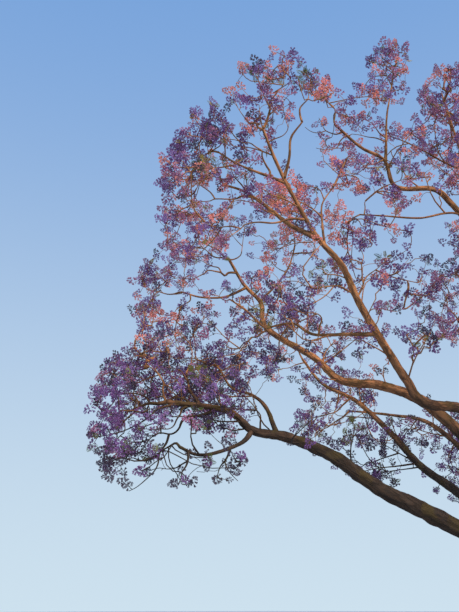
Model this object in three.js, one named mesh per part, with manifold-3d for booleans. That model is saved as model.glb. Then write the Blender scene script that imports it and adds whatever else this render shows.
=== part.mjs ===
// Jacaranda tree in bloom: a short trunk with a root flare, boughs that fork near its top, and
// masses of twigs and flower sprays. Sizes are in metres here and the finished solids in
// millimetres, with +Z up. The trunk's flat cut at ground level lies on z = 0, centred on the
// origin. The crown's long low side points along -X.
import * as THREE from 'three';
import { mergeVertices } from 'three/addons/utils/BufferGeometryUtils.js';
import Module from 'manifold-3d';

const wasm = await Module();
wasm.setup();

// Driving dimensions, in metres
const MILLIMETRES = 1000;
const JOINT_GAP = 0.0003;
const CUT_GAP = 0.0005;
const FUSE_TOLERANCE = 0.00005;

// Trunk: [height, radius] pairs up its side, then the root flare's lobes
const TRUNK_SIDE = [[0, 0.66], [0.12, 0.56], [0.35, 0.475], [0.8, 0.43], [1.3, 0.43], [1.75, 0.47],
  [2.1, 0.5], [2.35, 0.4], [2.5, 0.22]];
const TRUNK_TOP = 2.56;
const TRUNK_SIDES = 24;
const FLARE_LOBES = 6;
const FLARE_DEPTH = 0.17;
const FLARE_HEIGHT = 0.45;
const TRUNK_LEAN = [[1.0, 170, 88], [0.95, 175, 86]];

// Boughs: section sides, longest straight step, and the collar where a bough leaves its parent
const BOUGH_SIDES = 7;
const BRANCH_SIDES = 5;
const BOUGH_GIRTH = 0.2;
const LONGEST_STEP = 1.0;
const COLLAR_SWELL = 0.28;
const COLLAR_REACH = 0.35;

// Each limb leaves its parent after so many of the parent's legs. It has a diameter at its foot
// and at its tip, and legs of [length, bearing from +X, rise], the angles in degrees.
const LIMBS = [
  { name: 'bough_low', from: 'trunk', at: 1.85, girth: [0.42, 0.09],
    legs: [[1.15, 190, 32], [1.2, 188, 26], [1.3, 194, 24], [1.05, 199, 30], [0.85, 196, 19],
      [0.7, 196, 8], [0.5, 194, 37], [1.15, 190, 7]] },
  { name: 'bough_middle', from: 'trunk', at: 1.95, girth: [0.25, 0.06],
    legs: [[1.2, 162, 49], [0.95, 158, 47], [0.95, 147, 40], [1.1, 134, 50], [1.1, 139, 46], [1.0, 143, 33],
      [0.85, 143, 54]] },
  { name: 'bough_main', from: 'trunk', at: 2.0, girth: [0.32, 0.07],
    legs: [[1.85, 160, 72], [1.25, 165, 54], [1.0, 163, 45], [0.85, 165, 25], [0.85, 166, 12],
      [0.75, 158, 46], [1.45, 167, 38], [0.6, 124, 79], [0.6, 173, 51], [0.8, 172, 62]] },
  { name: 'leader', from: 'trunk', at: 2.0, girth: [0.38, 0.08],
    legs: [[1.95, 358, 80], [1.8, 0, 85], [1.75, 208, 83], [1.45, 190, 66], [0.9, 35, 68], [0.9, 20, 66],
      [0.7, 10, 58]] },
  { name: 'bough_east', from: 'trunk', at: 1.85, girth: [0.34, 0.09],
    legs: [[1.3, 350, 40], [1.3, 346, 34], [1.3, 356, 26], [0.9, 4, 20], [0.8, 352, 12]] },
  { name: 'bough_north', from: 'trunk', at: 1.9, girth: [0.3, 0.08],
    legs: [[1.3, 76, 46], [1.3, 82, 38], [1.3, 72, 30], [1.2, 80, 22]] },
  { name: 'bough_south', from: 'trunk', at: 1.9, girth: [0.3, 0.08],
    legs: [[1.3, 292, 48], [1.3, 284, 38], [1.3, 296, 28], [1.2, 286, 22]] },
  { name: 'bough_high', from: 'leader', at: 0.35, girth: [0.27, 0.05],
    legs: [[1.1, 238, 71], [1.2, 211, 50], [1.05, 203, 13], [0.9, 207, 2], [0.5, 214, 46], [1.55, 212, 52],
      [0.75, 213, 61], [0.65, 205, 43], [0.7, 210, 54], [0.85, 213, 58], [0.65, 213, 65]] },
  { name: 'bough_back', from: 'bough_main', at: 0.35, girth: [0.21, 0.05],
    legs: [[1.05, 101, 52], [1.6, 124, 49], [1.2, 120, 39], [1.05, 124, 19], [1.25, 139, 14]] },
  { name: 'branch_droop', from: 'bough_low', at: 6.0, girth: [0.11, 0.06],
    legs: [[0.3, 228, -47], [0.35, 206, -28], [0.6, 211, -16], [0.4, 214, 14]] },
  { name: 'branch_rise', from: 'bough_low', at: 5.3, girth: [0.1, 0.05],
    legs: [[0.65, 139, 65], [0.35, 158, 42], [0.4, 165, 22], [0.5, 140, 54]] },
  { name: 'branch_tuck', from: 'bough_low', at: 7.5, girth: [0.08, 0.04],
    legs: [[0.5, 126, 45], [0.5, 109, 52]] },
  { name: 'branch_side', from: 'bough_main', at: 8.9, girth: [0.075, 0.045],
    legs: [[0.6, 196, -30], [0.65, 204, -10], [0.35, 211, 3]] },
  { name: 'branch_prop', from: 'bough_main', at: 8.1, girth: [0.07, 0.045],
    legs: [[0.6, 21, 48], [0.7, 30, 55], [0.65, 48, 66]] },
  { name: 'branch_wing', from: 'bough_high', at: 8.0, girth: [0.12, 0.05],
    legs: [[0.55, 167, 33], [0.75, 157, 47], [0.6, 153, 44], [0.4, 164, 28]] },
  { name: 'branch_shelf', from: 'bough_high', at: 9.5, girth: [0.07, 0.04],
    legs: [[0.5, 176, 26], [0.55, 160, 34], [0.5, 158, 43]] },
  { name: 'branch_spire', from: 'bough_high', at: 9.6, girth: [0.07, 0.04],
    legs: [[0.4, 301, 64], [0.35, 290, 74], [0.35, 333, 50]] },
  { name: 'branch_cross', from: 'bough_high', at: 5.6, girth: [0.1, 0.05],
    legs: [[0.6, 149, 10], [0.65, 152, 10], [0.55, 139, 36], [0.45, 153, 1]] },
  { name: 'branch_inner', from: 'bough_high', at: 7.7, girth: [0.06, 0.035],
    legs: [[0.75, 86, 63], [0.45, 73, 76], [0.6, 37, 57]] },
  { name: 'branch_crown', from: 'leader', at: 4.0, girth: [0.17, 0.06],
    legs: [[0.9, 197, 40], [0.7, 210, 30], [1.0, 197, -4], [0.6, 215, 64], [0.55, 198, 21],
      [0.7, 200, 36]] },
  { name: 'branch_peak', from: 'branch_crown', at: 3.9, girth: [0.08, 0.04],
    legs: [[0.55, 343, 84], [0.6, 319, 83], [0.6, 338, 77]] },
  { name: 'branch_veil', from: 'leader', at: 3.6, girth: [0.08, 0.035],
    legs: [[0.9, 232, 24], [0.85, 212, 12], [1.0, 203, -18], [0.8, 201, -8], [0.55, 202, -9]] },
  { name: 'branch_over', from: 'leader', at: 4.4, girth: [0.1, 0.05],
    legs: [[1.0, 160, 76], [0.9, 200, 80]] },
  { name: 'branch_east_rise', from: 'bough_east', at: 1.2, girth: [0.18, 0.07],
    legs: [[1.5, 12, 68], [1.6, 14, 66], [1.6, 10, 64], [1.0, 18, 66]] },
  { name: 'branch_north_rise', from: 'bough_north', at: 1.0, girth: [0.17, 0.07],
    legs: [[1.5, 74, 70], [1.6, 62, 70], [1.6, 70, 66], [0.9, 80, 66]] },
  { name: 'branch_south_rise', from: 'bough_south', at: 1.0, girth: [0.17, 0.07],
    legs: [[1.5, 296, 70], [1.6, 308, 68], [1.6, 298, 66], [0.9, 290, 66]] },
  { name: 'branch_north_east', from: 'bough_north', at: 0.8, girth: [0.18, 0.07],
    legs: [[1.4, 42, 44], [1.5, 36, 40], [1.5, 44, 36], [0.9, 38, 26]] },
  { name: 'branch_south_east', from: 'bough_south', at: 0.8, girth: [0.18, 0.07],
    legs: [[1.4, 322, 46], [1.5, 330, 40], [1.4, 320, 36], [0.9, 328, 26]] },
  { name: 'branch_south_west', from: 'bough_south', at: 1.4, girth: [0.14, 0.06],
    legs: [[1.3, 262, 60], [1.4, 250, 58], [1.2, 258, 52], [0.9, 246, 50]] },
];

// Each foliage mass fills a space beyond one limb's tip: the step from the tip to the space's
// centre, and the space's half sizes along X, Y and Z.
const MASSES = [
  { name: 'foliage_low', limb: 'bough_low', step: [-0.75, 0, -0.4], half: [0.85, 1.4, 1.05] },
  { name: 'foliage_droop', limb: 'branch_droop', step: [0.3, -0.1, -0.4], half: [1.05, 1.0, 0.55] },
  { name: 'foliage_tuck', limb: 'branch_tuck', step: [-0.85, 0.5, 0.75], half: [1.1, 1.5, 0.95] },
  { name: 'foliage_rise', limb: 'branch_rise', step: [0, 0.4, 0.6], half: [0.95, 1.1, 0.9] },
  { name: 'foliage_cross', limb: 'branch_cross', step: [-0.5, 0.1, 0.4], half: [0.9, 1.0, 0.75] },
  { name: 'foliage_side', limb: 'branch_side', step: [-0.6, 0, 0.2], half: [1.0, 1.3, 0.9] },
  { name: 'foliage_main', limb: 'bough_main', step: [-0.85, 0.15, 0.6], half: [1.25, 1.3, 0.9] },
  { name: 'foliage_wing', limb: 'branch_wing', step: [-0.55, 0.2, 0], half: [1.0, 1.1, 0.75] },
  { name: 'foliage_shelf', limb: 'branch_shelf', step: [-0.5, 0.2, 0.55], half: [0.95, 1.2, 0.95] },
  { name: 'foliage_high', limb: 'bough_high', step: [0.05, -0.1, 0.8], half: [0.9, 1.2, 0.95] },
  { name: 'foliage_spire', limb: 'branch_spire', step: [0.2, 0, 0.65], half: [0.65, 0.9, 0.8] },
  { name: 'foliage_crown', limb: 'branch_crown', step: [0.25, 0, 0.4], half: [0.9, 1.2, 0.85] },
  { name: 'foliage_peak', limb: 'branch_peak', step: [-0.05, 0.05, 0.6], half: [0.7, 0.9, 0.85] },
  { name: 'foliage_over', limb: 'branch_over', step: [-0.2, -0.1, 1.0], half: [1.2, 1.7, 1.2] },
  { name: 'foliage_inner', limb: 'branch_inner', step: [0.2, 0.1, 0.45], half: [0.8, 1.0, 0.75] },
  { name: 'foliage_prop', limb: 'branch_prop', step: [-0.05, 0.3, 0.85], half: [1.25, 1.3, 1.1] },
  { name: 'foliage_middle', limb: 'bough_middle', step: [-0.35, 0.5, 0.55], half: [1.2, 1.5, 1.1] },
  { name: 'foliage_veil', limb: 'branch_veil', step: [0.1, -0.1, -0.5], half: [0.85, 1.0, 0.8] },
  { name: 'foliage_back', limb: 'bough_back', step: [-0.25, 0.5, 0.2], half: [1.5, 1.6, 1.1] },
  { name: 'foliage_leader', limb: 'leader', step: [0.5, 0, 1.1], half: [1.9, 1.9, 1.3] },
  { name: 'foliage_east', limb: 'bough_east', step: [1.1, -0.1, 0.3], half: [1.9, 2.0, 1.5] },
  { name: 'foliage_east_rise', limb: 'branch_east_rise', step: [0.6, 0.1, 1.0], half: [2.0, 2.0, 1.7] },
  { name: 'foliage_north', limb: 'bough_north', step: [0.1, 1.1, 0.3], half: [2.0, 1.8, 1.5] },
  { name: 'foliage_north_rise', limb: 'branch_north_rise', step: [0.2, 0.8, 1.0], half: [2.0, 1.9, 1.6] },
  { name: 'foliage_south', limb: 'bough_south', step: [0.2, -1.1, 0.3], half: [1.9, 1.8, 1.5] },
  { name: 'foliage_south_rise', limb: 'branch_south_rise', step: [0.5, -0.8, 1.0], half: [1.8, 1.8, 1.6] },
  { name: 'foliage_north_east', limb: 'branch_north_east', step: [0.9, 0.8, 0.3], half: [1.8, 1.8, 1.4] },
  { name: 'foliage_south_east', limb: 'branch_south_east', step: [0.9, -0.8, 0.3], half: [1.8, 1.8, 1.4] },
  { name: 'foliage_south_west', limb: 'branch_south_west', step: [-0.6, -0.5, 1.0], half: [1.5, 1.6, 1.4] },
];

// Growth rule of a mass
const SEED = 2417;
const GOLDEN_ANGLE = Math.PI * (3 - Math.sqrt(5));
const STEM_SIDES = 4;
const STEM_PLACES = [0, 1 / 3, 2 / 3, 1];
const STEM_RUN = 0.12;
const STEM_REACH = 0.45;
const TWIG_SIDES = 3;
const STEM_TIP = 0.03;
const TWIG_FOOT = 0.045;
const TWIG_TIP = 0.02;
const TWIG_REACHES = [0.66, 0.6, 0.54, 0.48, 0.42];
const TWIG_PLACE = { middle: 0.62, lead: 0.3, first: 0.36, last: 0.95 };
const TWIGS_BASE = 3.4;
const TWIGS_A_METRE = 1.3;
const SPRAYS_A_TWIG = [{ place: 0.55, spread: 0.85 }, { place: 1, spread: 0.2 }];
const SPRAY_TILT = [-0.4, 0.7];
const SPRAY_RANGE = [0.85, 1.15];
const SPRAY_LENGTH = 1.0;
const SPRAY_WIDTH = 0.62;
const SPRAY_DEPTH = 0.3;
const SPRAY_SINK = 0.14;
const SPRAY_TRIES = [1, 0.82, 0.66, 0.5];
const SIDE_MARGIN = 0.012;
const LIMB_MARGIN = 0.02;

// Finish of each kind of piece, with the petal colours dealt out by mass
const BARK = { color: '#77604c', roughness: 0.93 };
const PETALS = ['#8d78b8', '#a085c4', '#b58fb9', '#7d6bb0'];
const PETAL_ROUGHNESS = 0.8;

// Seeded dice: the same throws every time
class Dice {
  constructor(seed) {
    this.state = seed >>> 0;
  }

  throw() {
    this.state = (Math.imul(this.state, 1664525) + 1013904223) >>> 0;
    return this.state / 4294967296;
  }

  between(low, high) {
    return low + (high - low) * this.throw();
  }
}

const vector = (numbers) => new THREE.Vector3(...numbers);

function heading(bearing, rise) {
  const turn = THREE.MathUtils.degToRad(bearing);
  const lift = THREE.MathUtils.degToRad(rise);
  const flat = Math.cos(lift);
  return new THREE.Vector3(Math.cos(turn) * flat, Math.sin(turn) * flat, Math.sin(lift));
}

// Centre line that starts at a point and follows a limb's legs
function walk(start, legs) {
  const knots = [start.clone()];
  for (const [length, bearing, rise] of legs) {
    knots.push(knots.at(-1).clone().addScaledVector(heading(bearing, rise), length));
  }
  return new THREE.CatmullRomCurve3(knots, false, 'centripetal');
}

function toSolid(geometry) {
  const bare = geometry.index ? geometry.toNonIndexed() : geometry;
  bare.deleteAttribute('normal');
  bare.deleteAttribute('uv');
  const merged = mergeVertices(bare, 1e-6);
  const triVerts = new Uint32Array(merged.index.array);
  const vertProperties = new Float32Array(merged.attributes.position.array);
  return new wasm.Manifold(new wasm.Mesh({ numProp: 3, vertProperties, triVerts }));
}

// Places along a curve, from 0 to 1, that split each of its legs into steps of like length
function legSteps(legs) {
  const places = [0];
  legs.forEach(([length], order) => {
    const steps = Math.ceil(length / LONGEST_STEP);
    for (let step = 1; step <= steps; step += 1) {
      places.push((order + step / steps) / legs.length);
    }
  });
  return places;
}

// Tapering rod bent along a curve, with flat ends square to it. Its section is carried from
// place to place without twisting.
function rod(curve, sides, places, radiusAt) {
  const geometry = new THREE.CylinderGeometry(1, 1, 1, sides, places.length - 1);
  const across = new THREE.Vector3(0, 1, 0);
  const frames = places.map((place) => {
    const along = curve.getTangent(place);
    across.addScaledVector(along, -across.dot(along)).normalize();
    return { across: across.clone(), beside: along.clone().cross(across) };
  });
  const positions = geometry.attributes.position;
  for (let i = 0; i < positions.count; i += 1) {
    const step = Math.round((positions.getY(i) + 0.5) * (places.length - 1));
    const radius = radiusAt(places[step]);
    const point = curve.getPoint(places[step]);
    point.addScaledVector(frames[step].across, positions.getZ(i) * radius);
    point.addScaledVector(frames[step].beside, positions.getX(i) * radius);
    positions.setXYZ(i, point.x, point.y, point.z);
  }
  return toSolid(geometry);
}

// Trunk: a turned body whose foot swells into root lobes and whose height leans, made larger
// all round where it serves as a cutter
function makeTrunk(lean, grown) {
  const profile = [new THREE.Vector2(0, 0)];
  for (const [height, radius] of TRUNK_SIDE) {
    profile.push(new THREE.Vector2(radius + grown, height));
  }
  profile.push(new THREE.Vector2(0, TRUNK_TOP + grown));
  const geometry = new THREE.LatheGeometry(profile, TRUNK_SIDES);
  geometry.rotateX(Math.PI / 2);
  const positions = geometry.attributes.position;
  for (let i = 0; i < positions.count; i += 1) {
    const point = new THREE.Vector3().fromBufferAttribute(positions, i);
    const turn = Math.atan2(point.y, point.x);
    const fade = Math.exp(-point.z / FLARE_HEIGHT);
    const lobe = 1 + FLARE_DEPTH * fade * Math.cos(FLARE_LOBES * turn);
    const offset = lean.getPoint(THREE.MathUtils.clamp(point.z / lean.points.at(-1).z, 0, 1));
    positions.setXYZ(i, point.x * lobe + offset.x, point.y * lobe + offset.y, point.z);
  }
  return toSolid(geometry);
}

// Radius of a rod that tapers evenly between two diameters
const tapering = (foot, tip) => (part) => (foot + (tip - foot) * part) / 2;

function limbRadius(limb, part) {
  const [foot, tip] = limb.girth;
  const collar = foot * COLLAR_SWELL * Math.exp((-part * limb.length) / COLLAR_REACH);
  return tapering(foot, tip)(part) + collar / 2;
}

function limbRod(limb, grown) {
  const sides = limb.girth[0] > BOUGH_GIRTH ? BOUGH_SIDES : BRANCH_SIDES;
  return rod(limb.curve, sides, legSteps(limb.legs), (part) => limbRadius(limb, part) + grown);
}

const largest = (solid) => solid.decompose().reduce((a, b) => (a.volume() > b.volume() ? a : b));

// Limbs in order, each cut clear of the trunk and of the limbs before it
function makeLimbs(trunkCurve) {
  const curves = new Map([['trunk', trunkCurve]]);
  const cutters = [makeTrunk(trunkCurve, CUT_GAP)];
  return LIMBS.map((row) => {
    const parent = curves.get(row.from);
    const curve = walk(parent.getPoint(row.at / (parent.points.length - 1)), row.legs);
    curves.set(row.name, curve);
    const limb = { ...row, curve, length: curve.getLength() };
    const cut = wasm.Manifold.difference([limbRod(limb, 0), ...cutters]);
    limb.solid = largest(cut).simplify(FUSE_TOLERANCE);
    cutters.push(limbRod(limb, CUT_GAP));
    return limb;
  });
}

// Space of a mass: an ellipsoid cut back by flat sides halfway to each neighbour
function makeSpaces(limbs) {
  const spaces = MASSES.map((row, order) => {
    const limb = limbs.find((one) => one.name === row.limb);
    const tip = limb.curve.getPoint(1);
    const centre = tip.clone().add(vector(row.step));
    const size = (row.half[0] + row.half[1] + row.half[2]) / 3;
    return { ...row, order, limb, tip, centre, half: vector(row.half), size, sides: [] };
  });
  for (const space of spaces) {
    for (const other of spaces) {
      const way = other.centre.clone().sub(space.centre);
      const gap = way.length();
      way.normalize();
      const mine = space.half.clone().multiply(way).length();
      const theirs = other.half.clone().multiply(way).length();
      if (other !== space && gap < mine + theirs + SIDE_MARGIN) {
        space.sides.push({ way, reach: (gap * mine) / (mine + theirs) - SIDE_MARGIN });
      }
    }
  }
  return spaces;
}

function inSpace(space, point) {
  const offset = point.clone().sub(space.centre);
  const within = offset.clone().divide(space.half).length() <= 1;
  return within && space.sides.every(({ way, reach }) => offset.dot(way) < reach);
}

// Foliage solids of one mass: a stem, twigs spread by the golden angle, and sprays along them
class Mass {
  constructor(space, limbs) {
    this.space = space;
    this.limbs = limbs;
    this.dice = new Dice(SEED + space.order);
    this.pieces = [];
  }

  clear(solid) {
    return this.limbs.every((limb) => limb.solid.minGap(solid, LIMB_MARGIN) >= LIMB_MARGIN);
  }

  keeps(solid) {
    const { vertProperties, numProp } = solid.getMesh();
    for (let i = 0; i < vertProperties.length; i += numProp) {
      const corner = new THREE.Vector3().fromArray(vertProperties, i);
      if (!inSpace(this.space, corner)) {
        return false;
      }
    }
    return this.clear(solid);
  }

  growStem() {
    const { tip, centre, limb } = this.space;
    const along = limb.curve.getTangent(1);
    const start = tip.clone().addScaledVector(along, JOINT_GAP);
    const turn = start.clone().addScaledVector(along, STEM_RUN);
    const outward = centre.clone().sub(tip).normalize();
    const end = centre.clone().addScaledVector(outward, this.space.size * STEM_REACH);
    this.axis = end.clone().sub(start).normalize();
    this.stem = new THREE.CatmullRomCurve3([start, turn, centre, end], false, 'centripetal');
    this.pieces.push(rod(this.stem, STEM_SIDES, STEM_PLACES, tapering(limb.girth[1], STEM_TIP)));
  }

  growTwigs() {
    const count = Math.round(TWIGS_BASE + TWIGS_A_METRE * this.space.size);
    const first = this.dice.between(0, Math.PI * 2);
    for (let k = 0; k < count; k += 1) {
      const level = 1 - (2 * (k + 0.5)) / count;
      const turn = first + k * GOLDEN_ANGLE;
      const flat = Math.sqrt(1 - level * level);
      const way = new THREE.Vector3(Math.cos(turn) * flat, Math.sin(turn) * flat, level);
      this.growTwig(way);
    }
  }

  growTwig(way) {
    const { centre, half } = this.space;
    const lead = way.dot(this.axis);
    const { middle, first, last } = TWIG_PLACE;
    const place = THREE.MathUtils.clamp(middle + TWIG_PLACE.lead * lead, first, last);
    const foot = this.stem.getPoint(place);
    for (const reach of TWIG_REACHES) {
      const end = centre.clone().addScaledVector(way.clone().multiply(half), reach);
      const line = new THREE.LineCurve3(foot, end);
      const twig = rod(line, TWIG_SIDES, [0, 1], tapering(TWIG_FOOT, TWIG_TIP));
      if (this.keeps(twig)) {
        this.pieces.push(twig);
        this.growSprays(line);
        return;
      }
    }
  }

  growSprays(line) {
    const along = line.getTangent(0);
    for (const { place, spread } of SPRAYS_A_TWIG) {
      const turn = this.dice.between(0, Math.PI * 2);
      const side = new THREE.Vector3(Math.cos(turn), Math.sin(turn), this.dice.between(...SPRAY_TILT));
      const way = along.clone().addScaledVector(side, spread).normalize();
      const length = this.space.size * SPRAY_LENGTH * this.dice.between(...SPRAY_RANGE);
      this.growSpray(line.getPoint(place), way, length);
    }
  }

  growSpray(root, way, wanted) {
    for (const share of SPRAY_TRIES) {
      const length = wanted * share;
      const geometry = new THREE.OctahedronGeometry(0.5);
      geometry.scale(SPRAY_WIDTH * length, SPRAY_DEPTH * length, length);
      geometry.translate(0, 0, length * (0.5 - SPRAY_SINK));
      const turn = new THREE.Quaternion().setFromUnitVectors(new THREE.Vector3(0, 0, 1), way);
      geometry.applyQuaternion(turn);
      geometry.translate(root.x, root.y, root.z);
      const spray = toSolid(geometry);
      if (this.keeps(spray)) {
        this.pieces.push(spray);
        return;
      }
    }
  }

  grow() {
    this.growStem();
    this.growTwigs();
    this.growSpray(this.stem.getPoint(1), this.stem.getTangent(1), this.space.size * SPRAY_LENGTH);
    return largest(wasm.Manifold.union(this.pieces)).simplify(FUSE_TOLERANCE);
  }
}

function toMesh(name, solid, finish) {
  const { vertProperties, triVerts } = solid.getMesh();
  const geometry = new THREE.BufferGeometry();
  const positions = Float32Array.from(vertProperties, (value) => value * MILLIMETRES);
  geometry.setAttribute('position', new THREE.BufferAttribute(positions, 3));
  geometry.setIndex(new THREE.BufferAttribute(new Uint32Array(triVerts), 1));
  geometry.computeVertexNormals();
  const mesh = new THREE.Mesh(geometry, new THREE.MeshStandardMaterial({ metalness: 0, ...finish }));
  mesh.name = name;
  return mesh;
}

const tree = new THREE.Group();
tree.name = 'jacaranda_tree';
const trunkCurve = walk(new THREE.Vector3(), TRUNK_LEAN);
const limbs = makeLimbs(trunkCurve);
tree.add(toMesh('trunk', makeTrunk(trunkCurve, 0), BARK));
for (const limb of limbs) {
  tree.add(toMesh(limb.name, limb.solid, BARK));
}
for (const space of makeSpaces(limbs)) {
  const solid = new Mass(space, limbs).grow();
  const color = PETALS[space.order % PETALS.length];
  tree.add(toMesh(space.name, solid, { color, roughness: PETAL_ROUGHNESS }));
}

export default tree;
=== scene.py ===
import math

import bmesh
import bpy
import numpy as np
from bpy.props import FloatProperty, FloatVectorProperty, IntProperty, PointerProperty
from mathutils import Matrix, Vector, noise


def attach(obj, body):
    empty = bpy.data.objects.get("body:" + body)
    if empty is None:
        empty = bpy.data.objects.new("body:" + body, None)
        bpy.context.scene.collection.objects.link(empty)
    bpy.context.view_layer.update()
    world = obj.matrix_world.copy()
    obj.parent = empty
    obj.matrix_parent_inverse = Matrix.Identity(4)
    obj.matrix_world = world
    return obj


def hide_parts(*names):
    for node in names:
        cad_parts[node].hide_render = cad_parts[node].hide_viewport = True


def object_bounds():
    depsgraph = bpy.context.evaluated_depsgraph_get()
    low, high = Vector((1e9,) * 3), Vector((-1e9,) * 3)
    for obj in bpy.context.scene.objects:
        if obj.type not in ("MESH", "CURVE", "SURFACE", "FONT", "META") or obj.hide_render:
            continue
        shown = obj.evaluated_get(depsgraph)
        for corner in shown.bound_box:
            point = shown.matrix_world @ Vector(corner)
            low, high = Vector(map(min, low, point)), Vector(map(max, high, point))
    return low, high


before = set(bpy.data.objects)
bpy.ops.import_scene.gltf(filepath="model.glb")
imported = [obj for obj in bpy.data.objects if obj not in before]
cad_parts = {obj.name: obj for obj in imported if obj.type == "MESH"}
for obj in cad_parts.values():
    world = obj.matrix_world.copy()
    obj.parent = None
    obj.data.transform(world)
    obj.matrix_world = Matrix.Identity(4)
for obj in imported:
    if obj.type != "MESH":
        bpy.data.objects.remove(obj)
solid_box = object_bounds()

bl_info = {
    "name": "Jacaranda tree",
    "version": (1, 0, 0),
    "blender": (4, 5, 0),
    "location": "3D View > Sidebar > Jacaranda",
    "description": "Bark, twigs, blossom and leaves of a jacaranda in bloom, on its packed solids",
    "category": "Object",
}

# The photograph's camera: its place, its tilt upwards, and its frame in pixels
EYE = np.array((-5.97, -14.0, 1.6))
TILT = math.radians(22.08)
FOCAL = 720.0
MIDDLE = np.array((229.5, 306.0))
LENS = 42.35
FRAME_RIGHT = 459

# The least depth a point is seen at, and how far back the places marked in the photograph count
LEAST_DEPTH = 0.1
FRONT_LIMIT = 3

# Trunk: pairs of height and radius up its side, the lobes of its root flare, its lean in legs
# of (length, bearing, rise), and how many steps its bark is turned in
TRUNK_SIDE = ((0, 0.66), (0.12, 0.56), (0.35, 0.475), (0.8, 0.43), (1.3, 0.43), (1.75, 0.47),
              (2.1, 0.5), (2.35, 0.4), (2.5, 0.22), (2.56, 0.0))
FLARE_LOBES = 6
FLARE_DEPTH = 0.17
FLARE_HEIGHT = 0.45
TRUNK_LEAN = ((1.0, 170, 88), (0.95, 175, 86))
TRUNK_STEPS = 110

# A limb has a collar at its foot and thins faster near it, and a thin limb is slimmer than its
# solid: diameters at the foot, and the share of the solid's that the bark has
COLLAR_SWELL = 0.28
COLLAR_REACH = 0.35
TAPER_BOW = 1.25
SLIM_FEET = (0.03, 0.26)
SLIM_SHARES = (0.74, 1.0)

# Bark: how much it swells and knots in shares of the radius, the width of a limb's facet and
# how many it has at least and at most, how much its grain is drawn out, and how much deeper
# the trunk's furrows are
BARK_SWELL = 0.15
BARK_KNOTS = 0.1
FACET = 0.026
LIMB_SIDES = (8, 40)
GRAIN_STRETCH = 0.3
TRUNK_RELIEF = 1.5

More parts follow.
